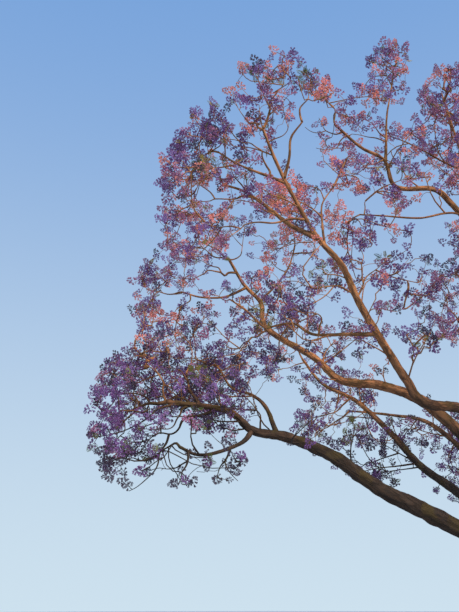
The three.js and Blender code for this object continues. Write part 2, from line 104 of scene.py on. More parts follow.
# Each limb: its parent, how many of the parent's legs lie before its foot, its diameters at
# foot and tip, and its legs of (length, bearing, rise)
LIMBS = {
    "bough_low": ("trunk", 1.85, 0.42, 0.09, (
        (1.15, 190, 32), (1.2, 188, 26), (1.3, 194, 24), (1.05, 199, 30), (0.85, 196, 19),
        (0.7, 196, 8), (0.5, 194, 37), (1.15, 190, 7))),
    "bough_middle": ("trunk", 1.95, 0.25, 0.06, (
        (1.2, 162, 49), (0.95, 158, 47), (0.95, 147, 40), (1.1, 134, 50), (1.1, 139, 46),
        (1.0, 143, 33), (0.85, 143, 54))),
    "bough_main": ("trunk", 2.0, 0.32, 0.07, (
        (1.85, 160, 72), (1.25, 165, 54), (1.0, 163, 45), (0.85, 165, 25), (0.85, 166, 12),
        (0.75, 158, 46), (1.45, 167, 38), (0.6, 124, 79), (0.6, 173, 51), (0.8, 172, 62))),
    "leader": ("trunk", 2.0, 0.38, 0.08, (
        (1.95, 358, 80), (1.8, 0, 85), (1.75, 208, 83), (1.45, 190, 66), (0.9, 35, 68),
        (0.9, 20, 66), (0.7, 10, 58))),
    "bough_east": ("trunk", 1.85, 0.34, 0.09, (
        (1.3, 350, 40), (1.3, 346, 34), (1.3, 356, 26), (0.9, 4, 20), (0.8, 352, 12))),
    "bough_north": ("trunk", 1.9, 0.3, 0.08, (
        (1.3, 76, 46), (1.3, 82, 38), (1.3, 72, 30), (1.2, 80, 22))),
    "bough_south": ("trunk", 1.9, 0.3, 0.08, (
        (1.3, 292, 48), (1.3, 284, 38), (1.3, 296, 28), (1.2, 286, 22))),
    "bough_high": ("leader", 0.35, 0.27, 0.05, (
        (1.1, 238, 71), (1.2, 211, 50), (1.05, 203, 13), (0.9, 207, 2), (0.5, 214, 46),
        (1.55, 212, 52), (0.75, 213, 61), (0.65, 205, 43), (0.7, 210, 54), (0.85, 213, 58),
        (0.65, 213, 65))),
    "bough_back": ("bough_main", 0.35, 0.21, 0.05, (
        (1.05, 101, 52), (1.6, 124, 49), (1.2, 120, 39), (1.05, 124, 19), (1.25, 139, 14))),
    "branch_droop": ("bough_low", 6.0, 0.11, 0.06, (
        (0.3, 228, -47), (0.35, 206, -28), (0.6, 211, -16), (0.4, 214, 14))),
    "branch_rise": ("bough_low", 5.3, 0.1, 0.05, (
        (0.65, 139, 65), (0.35, 158, 42), (0.4, 165, 22), (0.5, 140, 54))),
    "branch_tuck": ("bough_low", 7.5, 0.08, 0.04, ((0.5, 126, 45), (0.5, 109, 52))),
    "branch_side": ("bough_main", 8.9, 0.075, 0.045, (
        (0.6, 196, -30), (0.65, 204, -10), (0.35, 211, 3))),
    "branch_prop": ("bough_main", 8.1, 0.07, 0.045, ((0.6, 21, 48), (0.7, 30, 55), (0.65, 48, 66))),
    "branch_wing": ("bough_high", 8.0, 0.12, 0.05, (
        (0.55, 167, 33), (0.75, 157, 47), (0.6, 153, 44), (0.4, 164, 28))),
    "branch_shelf": ("bough_high", 9.5, 0.07, 0.04, (
        (0.5, 176, 26), (0.55, 160, 34), (0.5, 158, 43))),
    "branch_spire": ("bough_high", 9.6, 0.07, 0.04, (
        (0.4, 301, 64), (0.35, 290, 74), (0.35, 333, 50))),
    "branch_cross": ("bough_high", 5.6, 0.1, 0.05, (
        (0.6, 149, 10), (0.65, 152, 10), (0.55, 139, 36), (0.45, 153, 1))),
    "branch_inner": ("bough_high", 7.7, 0.06, 0.035, (
        (0.75, 86, 63), (0.45, 73, 76), (0.6, 37, 57))),
    "branch_crown": ("leader", 4.0, 0.17, 0.06, (
        (0.9, 197, 40), (0.7, 210, 30), (1.0, 197, -4), (0.6, 215, 64), (0.55, 198, 21),
        (0.7, 200, 36))),
    "branch_peak": ("branch_crown", 3.9, 0.08, 0.04, (
        (0.55, 343, 84), (0.6, 319, 83), (0.6, 338, 77))),
    "branch_veil": ("leader", 3.6, 0.08, 0.035, (
        (0.9, 232, 24), (0.85, 212, 12), (1.0, 203, -18), (0.8, 201, -8), (0.55, 202, -9))),
    "branch_over": ("leader", 4.4, 0.1, 0.05, ((1.0, 160, 76), (0.9, 200, 80))),
    "branch_east_rise": ("bough_east", 1.2, 0.18, 0.07, (
        (1.5, 12, 68), (1.6, 14, 66), (1.6, 10, 64), (1.0, 18, 66))),
    "branch_north_rise": ("bough_north", 1.0, 0.17, 0.07, (
        (1.5, 74, 70), (1.6, 62, 70), (1.6, 70, 66), (0.9, 80, 66))),
    "branch_south_rise": ("bough_south", 1.0, 0.17, 0.07, (
        (1.5, 296, 70), (1.6, 308, 68), (1.6, 298, 66), (0.9, 290, 66))),
    "branch_north_east": ("bough_north", 0.8, 0.18, 0.07, (
        (1.4, 42, 44), (1.5, 36, 40), (1.5, 44, 36), (0.9, 38, 26))),
    "branch_south_east": ("bough_south", 0.8, 0.18, 0.07, (
        (1.4, 322, 46), (1.5, 330, 40), (1.4, 320, 36), (0.9, 328, 26))),
    "branch_south_west": ("bough_south", 1.4, 0.14, 0.06, (
        (1.3, 262, 60), (1.4, 250, 58), (1.2, 258, 52), (0.9, 246, 50))),
}

# Each foliage mass: its limb, the step from the limb's tip to the middle of the mass's space,
# and the space's half sizes. The order deals out the seeds.
MASSES = {
    "foliage_low": ("bough_low", (-0.75, 0, -0.4), (0.85, 1.4, 1.05)),
    "foliage_droop": ("branch_droop", (0.3, -0.1, -0.4), (1.05, 1.0, 0.55)),
    "foliage_tuck": ("branch_tuck", (-0.85, 0.5, 0.75), (1.1, 1.5, 0.95)),
    "foliage_rise": ("branch_rise", (0, 0.4, 0.6), (0.95, 1.1, 0.9)),
    "foliage_cross": ("branch_cross", (-0.5, 0.1, 0.4), (0.9, 1.0, 0.75)),
    "foliage_side": ("branch_side", (-0.6, 0, 0.2), (1.0, 1.3, 0.9)),
    "foliage_main": ("bough_main", (-0.85, 0.15, 0.6), (1.25, 1.3, 0.9)),
    "foliage_wing": ("branch_wing", (-0.55, 0.2, 0), (1.0, 1.1, 0.75)),
    "foliage_shelf": ("branch_shelf", (-0.5, 0.2, 0.55), (0.95, 1.2, 0.95)),
    "foliage_high": ("bough_high", (0.05, -0.1, 0.8), (0.9, 1.2, 0.95)),
    "foliage_spire": ("branch_spire", (0.2, 0, 0.65), (0.65, 0.9, 0.8)),
    "foliage_crown": ("branch_crown", (0.25, 0, 0.4), (0.9, 1.2, 0.85)),
    "foliage_peak": ("branch_peak", (-0.05, 0.05, 0.6), (0.7, 0.9, 0.85)),
    "foliage_over": ("branch_over", (-0.2, -0.1, 1.0), (1.2, 1.7, 1.2)),
    "foliage_inner": ("branch_inner", (0.2, 0.1, 0.45), (0.8, 1.0, 0.75)),
    "foliage_prop": ("branch_prop", (-0.05, 0.3, 0.85), (1.25, 1.3, 1.1)),
    "foliage_middle": ("bough_middle", (-0.35, 0.5, 0.55), (1.2, 1.5, 1.1)),
    "foliage_veil": ("branch_veil", (0.1, -0.1, -0.5), (0.85, 1.0, 0.8)),
    "foliage_back": ("bough_back", (-0.25, 0.5, 0.2), (1.5, 1.6, 1.1)),
    "foliage_leader": ("leader", (0.5, 0, 1.1), (1.9, 1.9, 1.3)),
    "foliage_east": ("bough_east", (1.1, -0.1, 0.3), (1.9, 2.0, 1.5)),
    "foliage_east_rise": ("branch_east_rise", (0.6, 0.1, 1.0), (2.0, 2.0, 1.7)),
    "foliage_north": ("bough_north", (0.1, 1.1, 0.3), (2.0, 1.8, 1.5)),
    "foliage_north_rise": ("branch_north_rise", (0.2, 0.8, 1.0), (2.0, 1.9, 1.6)),
    "foliage_south": ("bough_south", (0.2, -1.1, 0.3), (1.9, 1.8, 1.5)),
    "foliage_south_rise": ("branch_south_rise", (0.5, -0.8, 1.0), (1.8, 1.8, 1.6)),
    "foliage_north_east": ("branch_north_east", (0.9, 0.8, 0.3), (1.8, 1.8, 1.4)),
    "foliage_south_east": ("branch_south_east", (0.9, -0.8, 0.3), (1.8, 1.8, 1.4)),
    "foliage_south_west": ("branch_south_west", (-0.6, -0.5, 1.0), (1.5, 1.6, 1.4)),
}

# The source's dice: the seed, and how each number follows from the one before it
SEED = 2417
DICE_FACTOR = 1664525
DICE_STEP = 1013904223
DICE_RANGE = 2 ** 32

# Growth rule of a mass, as in the source: its stem, and the twigs round it
GOLDEN_ANGLE = math.pi * (3 - math.sqrt(5))
STEM_RUN = 0.12
STEM_REACH = 0.45
STEM_TIP = 0.03
TWIG_REACHES = (0.66, 0.6, 0.54, 0.48, 0.42)
TWIG_MIDDLE = 0.62
TWIG_LEAD = 0.3
TWIG_PLACES = (0.36, 0.95)
TWIGS_BASE = 3.4
TWIGS_A_METRE = 1.3
SIDE_MARGIN = 0.012

# The same stem and twigs as they are drawn: joints, a twig's radius at its foot, and its bows
STEM_JOINTS = 10
TWIG_JOINTS = 6
TWIG_FOOT_RADIUS = 0.008
TWIG_BOWS = (0.09, 0.05)

# Finer growth: how far a space is filled, how thin its core is, how much denser small spaces
# are, what a twig costs that bends away, how long it may be, and how twigs thicken with the
# tips they carry
FILL_REACH = 0.95
CORE_SHARE = 0.25
CORE_EDGE = 0.78
SMALL_DENSER = 1.6
BEND_COST = 0.55
LONGEST_REACH = 0.65
TWIG_TIP_RADIUS = 0.0052
THICKENING = 0.5

# A fine twig: how much it sets out as its carrier points, how far its knee and its waves
# stray in shares of its length, its steps, the length from which it must keep off the sky,
# and how much thicker than its own least radius a joint and a foot may be
SET_OUT = 0.7
KNEE_STRAY = 0.1
WAVE_STRAY = 0.045
FINE_STEP = 0.16
SKY_REACH = 0.2
JOINT_SWELL = 1.3
FOOT_SWELL = 1.25

# Joints that one growth may have, the step at which curves are sampled, where on its carrier
# a fine bough may start, how near a space such a bough counts, and its end that bears twigs
MOST_JOINTS = 9000
SAMPLE_STEP = 0.12
CARRIER_PARTS = np.linspace(0.1, 1, 200)
NEAR_SPACE = 1.15
END_PARTS = np.linspace(0.7, 1, 6)

# Clumps of sprays: how many sprays are in one and round the end of a twig or fine bough, how
# far they stray from its middle, how wide clumps are, and how far their middles stray. The
# root of x ** 4 = x + 1 spreads the middles evenly in three dimensions.
CLUMP = 3
END_TIPS = 5
CLUMP_STRAY = np.array((0.13, 0.13, 0.1))
CLUMP_WIDTHS = (0.3, 2.4)
MIDDLE_STRAY = 0.08
SPREAD_ROOT = 1.2207440846

# The fine bough that continues a mass's limb in place of its stem
STEMS = {
    "foliage_low": "low_end", "foliage_droop": "droop_end", "foliage_tuck": "tuck_end",
    "foliage_rise": "rise_end", "foliage_side": "side_end", "foliage_main": "main_mid",
    "foliage_wing": "wing_end", "foliage_shelf": "shelf_end", "foliage_high": "high_end",
    "foliage_spire": "spire_end", "foliage_crown": "crown_end", "foliage_peak": "peak_end",
    "foliage_prop": "prop_end", "foliage_middle": "middle_end", "foliage_veil": "veil_end",
    "foliage_back": "back_end",
}

# Finer boughs of their own: what carries each, how far it drifts away from the camera, its
# diameters at foot and tip, and its way through the photograph in pixels
FINE_BOUGHS = {
    "low_end": ("bough_low", 0.1, 0.085, 0.022, (
        (166, 401), (158, 403), (148, 403), (139, 407), (133, 413), (126, 419), (122, 424),
        (116, 429))),
    "low_under": ("bough_low", -0.5, 0.06, 0.018, (
        (187, 404), (173, 405), (164, 407), (156, 410), (151, 416), (140, 423), (126, 430),
        (112, 434), (98, 437))),
    "low_loop": ("bough_low", -0.3, 0.05, 0.015, (
        (192, 405), (183, 409), (181, 414), (177, 420), (174, 426), (169, 429), (160, 429),
        (151, 430))),
    "low_left": ("low_end", 0.4, 0.045, 0.016, (
        (150, 403), (146, 397), (138, 394), (130, 393), (121, 393), (112, 391))),
    "low_rise": ("bough_low", 0.4, 0.055, 0.016, (
        (167, 401), (164, 395), (163, 388), (164, 383), (160, 376), (154, 370), (149, 366),
        (143, 359))),
    "low_knee": ("bough_low", 0.3, 0.04, 0.014, (
        (193, 404), (183, 398), (178, 397), (174, 393), (170, 392), (166, 386))),
    "low_stem": ("bough_low", 0.2, 0.04, 0.014, (
        (221, 409), (219, 400), (218, 392), (215, 385), (208, 383), (199, 379))),
    "low_back": ("bough_low", -0.2, 0.024, 0.012, ((250, 429), (243, 424), (236, 419), (229, 415))),
    "low_hang": ("bough_low", 0.3, 0.075, 0.02, (
        (213, 417), (205, 422), (194, 424), (185, 424), (180, 428), (178, 433), (174, 437),
        (169, 438), (160, 436), (153, 438), (148, 442), (143, 449), (137, 455))),
    "low_fall": ("low_hang", -0.2, 0.05, 0.016, (
        (169, 438), (166, 447), (160, 455), (158, 466), (155, 472), (150, 477), (143, 483),
        (136, 488), (129, 491))),
    "low_reach": ("low_fall", 0.3, 0.04, 0.014, (
        (160, 456), (147, 461), (139, 460), (132, 458), (124, 463), (116, 468))),
    "droop_end": ("branch_droop", 0.1, 0.055, 0.018, (
        (180, 447), (176, 443), (170, 446), (163, 450), (156, 456))),
    "droop_fall": ("branch_droop", -0.3, 0.055, 0.014, (
        (188, 451), (188, 459), (186, 466), (182, 472), (181, 478), (178, 485))),
    "droop_left": ("droop_fall", 0.3, 0.035, 0.014, (
        (187, 461), (180, 465), (175, 468), (168, 469), (160, 468))),
    "droop_right": ("branch_droop", 0.2, 0.05, 0.014, (
        (231, 449), (229, 455), (225, 462), (221, 466), (218, 474), (217, 480))),
    "droop_low": ("droop_right", -0.3, 0.03, 0.012, (
        (226, 462), (228, 469), (232, 475), (238, 481))),
    "droop_rise": ("branch_droop", 0.3, 0.02, 0.01, (
        (224, 449), (222, 444), (217, 440), (211, 434), (208, 429))),
    "tuck_end": ("branch_tuck", 0.2, 0.045, 0.014, (
        (186, 374), (188, 368), (191, 362), (192, 352), (190, 343), (193, 335))),
    "tuck_left": ("branch_tuck", -0.2, 0.04, 0.014, (
        (186, 381), (183, 376), (180, 371), (174, 369), (167, 367))),
    "rise_end": ("branch_rise", 0.3, 0.06, 0.016, (
        (220, 370), (217, 366), (212, 364), (205, 363), (199, 360), (193, 358), (181, 359),
        (170, 358))),
    "rise_twin": ("bough_low", 0.2, 0.04, 0.018, (
        (261, 429), (261, 420), (261, 413), (257, 408), (251, 401), (246, 397), (240, 394))),
    "middle_end": ("bough_middle", 0.2, 0.05, 0.016, (
        (302, 359), (299, 353), (297, 345), (296, 335), (298, 326), (296, 317))),
    "middle_left": ("bough_middle", -0.3, 0.038, 0.014, (
        (304, 363), (296, 365), (289, 368), (281, 369), (272, 372))),
    "middle_under": ("bough_middle", -0.3, 0.05, 0.014, (
        (350, 400), (341, 408), (336, 413), (326, 416), (318, 418), (311, 419), (306, 425),
        (301, 428))),
    "middle_low": ("bough_middle", -0.3, 0.05, 0.018, (
        (415, 466), (395, 468), (378, 469), (360, 472))),
    "middle_lift": ("bough_middle", 0.4, 0.05, 0.018, ((415, 466), (400, 456), (380, 442))),
    "back_end": ("bough_back", -0.2, 0.055, 0.016, (
        (349, 411), (343, 417), (335, 422), (328, 427), (322, 430), (317, 435), (311, 439))),
    "back_drop": ("bough_back", 0.3, 0.03, 0.014, ((362, 413), (366, 420), (367, 428), (369, 437))),
    "main_knob": ("bough_main", -0.3, 0.055, 0.018, (
        (323, 365), (335, 356), (350, 344), (358, 338))),
    "main_low": ("bough_main", 0.3, 0.055, 0.016, (
        (266, 332), (259, 336), (255, 339), (250, 339), (247, 343), (244, 348), (237, 349),
        (230, 349), (222, 351))),
    "main_drop": ("main_low", 0.2, 0.03, 0.014, ((232, 349), (231, 356), (232, 364))),
    "main_turn": ("bough_main", 0.35, 0.045, 0.016, (
        (229, 259), (233, 259), (238, 257), (241, 254), (242, 248), (243, 240), (244, 232),
        (245, 226))),
    "main_cross": ("main_turn", 0.2, 0.026, 0.012, (
        (242, 246), (237, 241), (233, 236), (229, 231))),
    "main_upper": ("bough_main", 0.5, 0.065, 0.018, (
        (229, 260), (224, 257), (220, 252), (214, 248), (207, 245), (199, 242), (191, 243),
        (183, 242))),
    "main_mid": ("bough_main", 0.1, 0.05, 0.016, (
        (229, 260), (222, 258), (217, 258), (212, 256), (208, 252), (204, 249), (197, 248),
        (189, 248), (180, 246), (172, 241))),
    "main_side": ("bough_main", -0.5, 0.065, 0.018, (
        (238, 272), (230, 272), (226, 275), (222, 272), (217, 271), (209, 270), (205, 273),
        (199, 276), (192, 279), (184, 278), (176, 278), (166, 281))),
    "main_side_up": ("main_side", 0.3, 0.04, 0.014, (
        (222, 272), (219, 267), (214, 266), (208, 264), (203, 261), (197, 259), (190, 257))),
    "main_side_down": ("main_side", 0.1, 0.028, 0.012, ((191, 280), (187, 284), (183, 289))),
    "side_end": ("branch_side", 0.2, 0.05, 0.014, (
        (186, 293), (181, 292), (173, 294), (167, 294), (160, 292), (155, 291), (149, 290),
        (145, 287), (142, 281))),
    "side_drop": ("branch_side", -0.2, 0.04, 0.014, (
        (190, 295), (190, 301), (185, 304), (180, 307), (176, 310), (174, 314), (171, 318))),
    "wing_end": ("branch_wing", 0.2, 0.05, 0.014, (
        (226, 185), (222, 182), (220, 176), (217, 170), (213, 163))),
    "wing_thread": ("branch_wing", 0.3, 0.04, 0.014, (
        (248, 191), (243, 184), (237, 178), (233, 173), (231, 167), (227, 161))),
    "wing_post": ("branch_wing", -0.2, 0.032, 0.014, (
        (248, 190), (248, 183), (246, 176), (245, 171))),
    "wing_low": ("branch_wing", -0.6, 0.05, 0.016, (
        (255, 198), (243, 196), (235, 199), (215, 199), (210, 201), (200, 202), (191, 205))),
    "wing_low_up": ("wing_low", 0.3, 0.034, 0.014, (
        (215, 199), (211, 193), (206, 189), (200, 185), (195, 181), (190, 177))),
    "wing_loop": ("branch_wing", -0.2, 0.035, 0.02, (
        (273, 216), (267, 213), (265, 208), (262, 203), (256, 198))),
    "shelf_end": ("branch_shelf", 0.2, 0.045, 0.014, (
        (219, 152), (213, 151), (208, 153), (203, 156), (196, 157))),
    "shelf_post": ("branch_shelf", -0.2, 0.034, 0.014, (
        (225, 157), (225, 150), (224, 143), (223, 137))),
    "shelf_arch": ("branch_shelf", -0.3, 0.05, 0.014, (
        (270, 177), (270, 172), (266, 165), (262, 156), (262, 151), (256, 147), (250, 143),
        (244, 143), (236, 140), (226, 139), (217, 137))),
    "shelf_thread": ("shelf_arch", 0.2, 0.028, 0.012, (
        (240, 141), (234, 135), (229, 127), (223, 120), (215, 116))),
    "high_end": ("bough_high", 0.2, 0.06, 0.016, (
        (263, 129), (267, 120), (269, 113), (270, 108), (271, 100), (275, 95), (279, 90), (283, 85),
        (284, 77), (285, 68))),
    "high_left": ("bough_high", -0.2, 0.045, 0.014, (
        (263, 129), (258, 127), (256, 123), (250, 123), (246, 119), (242, 114), (238, 108))),
    "high_bud": ("bough_high", 0.3, 0.034, 0.014, ((263, 129), (261, 121), (260, 113), (259, 105))),
    "high_fork": ("high_end", -0.2, 0.04, 0.014, (
        (270, 108), (267, 102), (264, 96), (261, 88), (258, 80))),
    "high_right": ("high_end", 0.3, 0.034, 0.014, (
        (269, 116), (273, 112), (277, 108), (282, 104), (286, 98))),
    "high_bow": ("bough_high", -0.1, 0.028, 0.012, (
        (268, 143), (276, 139), (283, 136), (288, 129), (286, 121), (284, 113), (283, 106))),
    "high_long": ("bough_high", -0.5, 0.055, 0.016, (
        (293, 228), (280, 226), (265, 229), (250, 227), (240, 228), (236, 232), (230, 236),
        (222, 241))),
    "high_long_left": ("high_long", 0.2, 0.034, 0.014, (
        (240, 228), (234, 226), (226, 226), (219, 227), (212, 226), (205, 222))),
    "high_row": ("bough_high", -0.3, 0.05, 0.016, (
        (349, 296), (342, 292), (336, 288), (330, 287), (320, 288), (311, 289), (304, 286),
        (298, 282), (290, 281))),
    "high_back": ("bough_high", 0.6, 0.045, 0.016, (
        (356, 298), (362, 286), (364, 279), (369, 274), (375, 270), (381, 265), (388, 258))),
    "high_back_up": ("high_back", 0.2, 0.034, 0.014, (
        (362, 284), (361, 274), (361, 263), (363, 257), (361, 250), (359, 242))),
    "spire_end": ("branch_spire", 0.1, 0.05, 0.014, (
        (302, 122), (300, 115), (300, 108), (304, 103), (308, 99), (309, 91), (311, 83))),
    "crown_end": ("branch_crown", 0.1, 0.05, 0.014, (
        (336, 125), (334, 121), (335, 115), (335, 110), (332, 105), (327, 102), (324, 96))),
    "crown_left": ("branch_crown", 0.2, 0.04, 0.014, (
        (342, 131), (337, 134), (331, 133), (325, 130), (322, 124), (319, 118))),
    "crown_thread": ("crown_left", -0.1, 0.022, 0.012, (
        (326, 131), (317, 133), (310, 131), (305, 127))),
    "crown_low": ("branch_crown", -0.2, 0.034, 0.014, (
        (345, 136), (339, 142), (337, 147), (334, 149), (325, 150), (316, 148))),
    "crown_over": ("branch_crown", -0.4, 0.045, 0.016, (
        (385, 158), (375, 163), (365, 165), (358, 170))),
    "peak_left": ("branch_peak", -0.2, 0.04, 0.014, (
        (387, 138), (380, 133), (377, 129), (373, 124), (368, 121), (361, 118))),
    "peak_row": ("branch_peak", 0.2, 0.034, 0.014, (
        (386, 142), (376, 138), (368, 137), (360, 135), (352, 134))),
    "peak_end": ("branch_peak", 0.0, 0.045, 0.014, (
        (391, 91), (392, 84), (393, 77), (393, 71), (389, 68), (384, 63), (382, 59), (381, 52))),
    "peak_twin": ("peak_end", 0.2, 0.028, 0.012, ((391, 86), (387, 78), (384, 71), (379, 66))),
    "peak_right": ("peak_end", -0.2, 0.028, 0.012, ((393, 71), (396, 63), (398, 56), (398, 50))),
    "peak_arm": ("branch_peak", 0.1, 0.022, 0.012, ((391, 92), (397, 90), (403, 89))),
    "prop_end": ("branch_prop", 0.2, 0.045, 0.014, (
        (294, 250), (295, 243), (294, 236), (293, 229))),
    "prop_right": ("branch_prop", -0.3, 0.05, 0.014, (
        (293, 254), (300, 253), (309, 253), (315, 250), (314, 244), (311, 241), (305, 240),
        (304, 233))),
    "prop_left": ("branch_prop", 0.3, 0.034, 0.014, (
        (286, 272), (281, 270), (275, 266), (270, 260))),
    "veil_end": ("branch_veil", 0.1, 0.034, 0.012, (
        (360, 215), (352, 219), (347, 223), (341, 229))),
    "veil_up": ("branch_veil", 0.1, 0.028, 0.012, (
        (364, 216), (365, 209), (365, 202), (371, 197), (377, 192))),
    "cross_up": ("branch_cross", 0.2, 0.045, 0.014, (
        (319, 333), (320, 325), (322, 317), (318, 313), (310, 312), (300, 311), (291, 309))),
    "leader_arm": ("leader", -0.4, 0.09, 0.03, (
        (459, 170), (450, 162), (430, 158), (420, 153), (410, 146), (400, 140), (390, 136))),
}

# Side branches along a limb, outside the masses: where they begin, how far apart they are, how
# far they reach, how much of that their sprays fill, and how few tips are worth a branch; then
# how much they follow the limb, how much shorter they get along it, where the middle of their
# sprays lies, where they bend, their radii, and how many sprays they bear beside a mass's
SIDE_START = 0.36
FINE_START = 0.3
SIDE_STEP = 0.55
SIDE_REACH = (0.55, 1.35)
SIDE_LIFT = 0.35
SIDE_ROOM = np.array((0.62, 0.62, 0.5))
SIDE_FEWEST = 4
SIDE_FOLLOW = 0.6
SIDE_TAPER = (1.25, 0.5)
SIDE_MIDDLE = 0.8
SIDE_BEND = 0.35
SIDE_RADII = (0.014, 0.006)
SIDE_SPRAYS = 0.5

# The crown's edge in the photograph, how far inside it tips stay, and the openings where the
# sky shows through the crown, each with its middle and half sizes, all in pixels
EDGE_MARGIN = 7
EDGE_ABOVE = np.array(((83, 440), (90, 405), (98, 380), (103, 358), (125, 345), (130, 274),
                       (150, 256), (157, 240), (160, 195), (163, 160), (168, 140), (180, 130),
                       (190, 120), (196, 100), (212, 91), (228, 84), (237, 74), (242, 54),
                       (258, 58), (266, 47), (290, 40), (305, 60), (322, 64), (335, 86), (348, 88),
                       (357, 76), (364, 56), (380, 38), (392, 29), (404, 31), (410, 98), (415, 100),
                       (422, 77), (432, 64), (459, 54)))
EDGE_BELOW = np.array(((83, 438), (94, 452), (103, 464), (107, 478), (113, 490), (117, 503),
                       (124, 506), (135, 498), (150, 484), (165, 492), (225, 493), (242, 482),
                       (250, 456), (262, 446), (300, 452), (340, 475), (459, 520)))
SKY_OPENINGS = (
    (281, 405, 19, 20), (306, 148, 12, 26), (235, 248, 6, 6), (247, 267, 6, 6), (367, 204, 19, 9),
    (210, 284, 7, 6), (170, 300, 8, 7), (214, 196, 11, 6), (400, 401, 15, 7), (440, 385, 8, 8),
    (214, 441, 6, 5), (308, 110, 6, 8), (412, 100, 5, 14), (328, 175, 6, 7), (238, 116, 5, 7),
    (196, 300, 6, 5), (128, 326, 7, 11), (204, 89, 8, 7),
)

# How dense the growth is where the photograph shows it: in general, at most, and place by
# place, each with its middle, its half sizes in pixels and its share. Where places overlap,
# the first counts.
SEEN_SHARE = 0.5
DENSEST = 1.6
DENSITY_PLACES = (
    (284, 240, 34, 22, 0.36), (284, 200, 31, 17, 0.95), (262, 318, 14, 16, 0.45),
    (385, 60, 14, 22, 0.14), (228, 106, 16, 20, 1.25), (112, 366, 18, 26, 1.35),
    (362, 243, 20, 18, 0.2), (192, 196, 32, 15, 0.18), (268, 165, 26, 16, 0.12),
    (352, 222, 24, 16, 0.09), (182, 286, 16, 13, 0.18), (300, 345, 22, 15, 0.12),
    (272, 374, 30, 13, 0.1), (300, 105, 16, 20, 0.19), (390, 250, 34, 38, 0.4),
    (425, 270, 50, 85, 0.85), (438, 92, 20, 34, 1.2), (186, 140, 12, 16, 1.1),
    (335, 165, 14, 12, 1.4), (234, 96, 10, 8, 0.8), (160, 432, 42, 20, 0.75),
    (244, 74, 14, 14, 0.4), (333, 135, 13, 15, 0.06), (365, 135, 14, 15, 0.3),
    (215, 150, 13, 28, 0.62), (305, 285, 15, 15, 0.5), (152, 313, 14, 13, 0.55),
    (188, 316, 14, 12, 1.5), (272, 345, 12, 14, 0.55), (305, 435, 18, 14, 0.6),
    (118, 400, 36, 62, 1.25), (185, 388, 46, 32, 0.6), (150, 345, 34, 26, 0.65),
    (190, 150, 22, 40, 0.9), (160, 230, 16, 40, 0.32), (185, 474, 62, 24, 0.14),
    (262, 95, 26, 30, 0.16), (270, 225, 70, 50, 0.2), (380, 70, 26, 32, 0.17),
    (345, 110, 50, 80, 0.17), (245, 318, 42, 28, 0.18), (315, 395, 50, 34, 0.55),
)

# How near a spray may come to a limb that it would hide, in pixels, and the share of such
# sprays that are left out
LIMB_MARGIN = 3.6
LIMB_CLEAR = 0.8

# Where the blossom takes the salmon tint of painted sunlight or is deep violet, and where young
# leaves show, each place with its middle and half sizes in pixels
PAINTED_SUNLIGHT_PLACES = (
    (284, 198, 31, 15), (275, 226, 17, 12), (335, 226, 14, 12), (300, 256, 16, 14),
    (277, 272, 11, 8), (245, 63, 7, 7), (238, 86, 9, 7), (321, 95, 10, 15), (322, 112, 9, 9),
    (186, 208, 9, 8), (217, 215, 9, 8), (250, 210, 9, 7), (165, 318, 15, 11), (210, 157, 11, 8),
    (345, 245, 10, 9), (292, 242, 14, 12), (306, 92, 9, 12), (375, 105, 9, 12),
)
VIOLET_PLACES = (
    (190, 145, 24, 22), (215, 120, 13, 13), (240, 140, 12, 12), (160, 228, 12, 14),
    (118, 390, 17, 26), (125, 435, 18, 22), (262, 95, 14, 14), (315, 185, 10, 10),
    (445, 260, 20, 30), (440, 205, 16, 14),
)
LEAFY_PLACES = (
    (222, 102, 12, 9), (205, 165, 12, 10), (222, 168, 8, 9), (252, 72, 7, 8), (272, 80, 7, 8),
    (345, 430, 22, 13), (320, 275, 12, 12), (330, 262, 10, 14), (375, 255, 12, 10),
    (395, 175, 18, 12), (300, 75, 10, 12), (262, 318, 13, 15), (200, 372, 9, 8), (198, 410, 9, 6),
    (236, 62, 8, 6),
)

# Share of the tips in leafy places that carry leaves alone
LEAFY_SHARE = 0.5

# Where twigs show more than blossom, in pixels, and the share of tips there that are bare
BARE_PLACES = ((170, 432, 44, 20), (190, 472, 64, 26), (330, 420, 30, 22))
BARE_SHARE = 0.45

# Tints of the blossom: the slot listed for each, which nothing reads, and how much of it there is
# low and high in the crown
# The salmon tint is painted sunlight and the dusk tint painted shade: the low mix has much dusk and
# the high mix much salmon
TINTS = ("violet", "lilac", "mauve", "salmon", "painted_shade_tint")
SLOTS = ("blossom_violet", "blossom_lilac", "blossom_mauve", "blossom_salmon", "blossom_violet")
LOW_MIX = (0.42, 0.18, 0.09, 0.0, 0.31)
HIGH_MIX = (0.2, 0.2, 0.34, 0.25, 0.01)
PAINTED_SHADE_MIX = (0.2, 0.05, 0.0, 0.0, 0.75)
PAINTED_SUNLIGHT_MIX = (0.02, 0.04, 0.12, 0.82, 0.0)
VIOLET_MIX = (0.62, 0.2, 0.1, 0.0, 0.08)

# The height where the mix begins to change and how much further up it ends, the pixel row below
# which blossom takes the dusky tint of painted shade, and the scale and strength of the patches of
# salmon, which is painted sunlight, and violet
MIX_START = 5.6
MIX_RISE = 3.4
PAINTED_SHADE_ROW = 436
PATCH_SCALE = 0.9
PATCH_STRENGTH = 2.2

# Tones of the bark's pattern and of the rings on twigs, the first of them painted shade on the
# bark's undersides and the furrows' tone painted shade in the furrows
UNDERSIDE_SHADE_TONE = (0.46, 0.44, 0.4)
RAISED_TONE = (1.8, 1.65, 1.5)
PALE_TONE = (0.15, 0.11, 0.08)
FIBRE_TONE = (0.12, 0.065, 0.035)
FURROW_SHADE_TONE = (0.022, 0.014, 0.009)
RING_TONE = (0.03, 0.018, 0.011)

# Pieces: triangles in one, how many of the tints share out the masses they replace, and the
# sides of a twig by the radius that its thickest point is under
MOST_TRIANGLES = 190000
REPLACING_TINTS = 4
ROD_SIDES = ((0.009, 3), (0.02, 5), (math.inf, 8))

# Flower: petals, half the angle that one spans, and the width of the rim to the length
PETALS = 5
PETAL_ANGLE = 26
RIM_WIDTH = 0.42

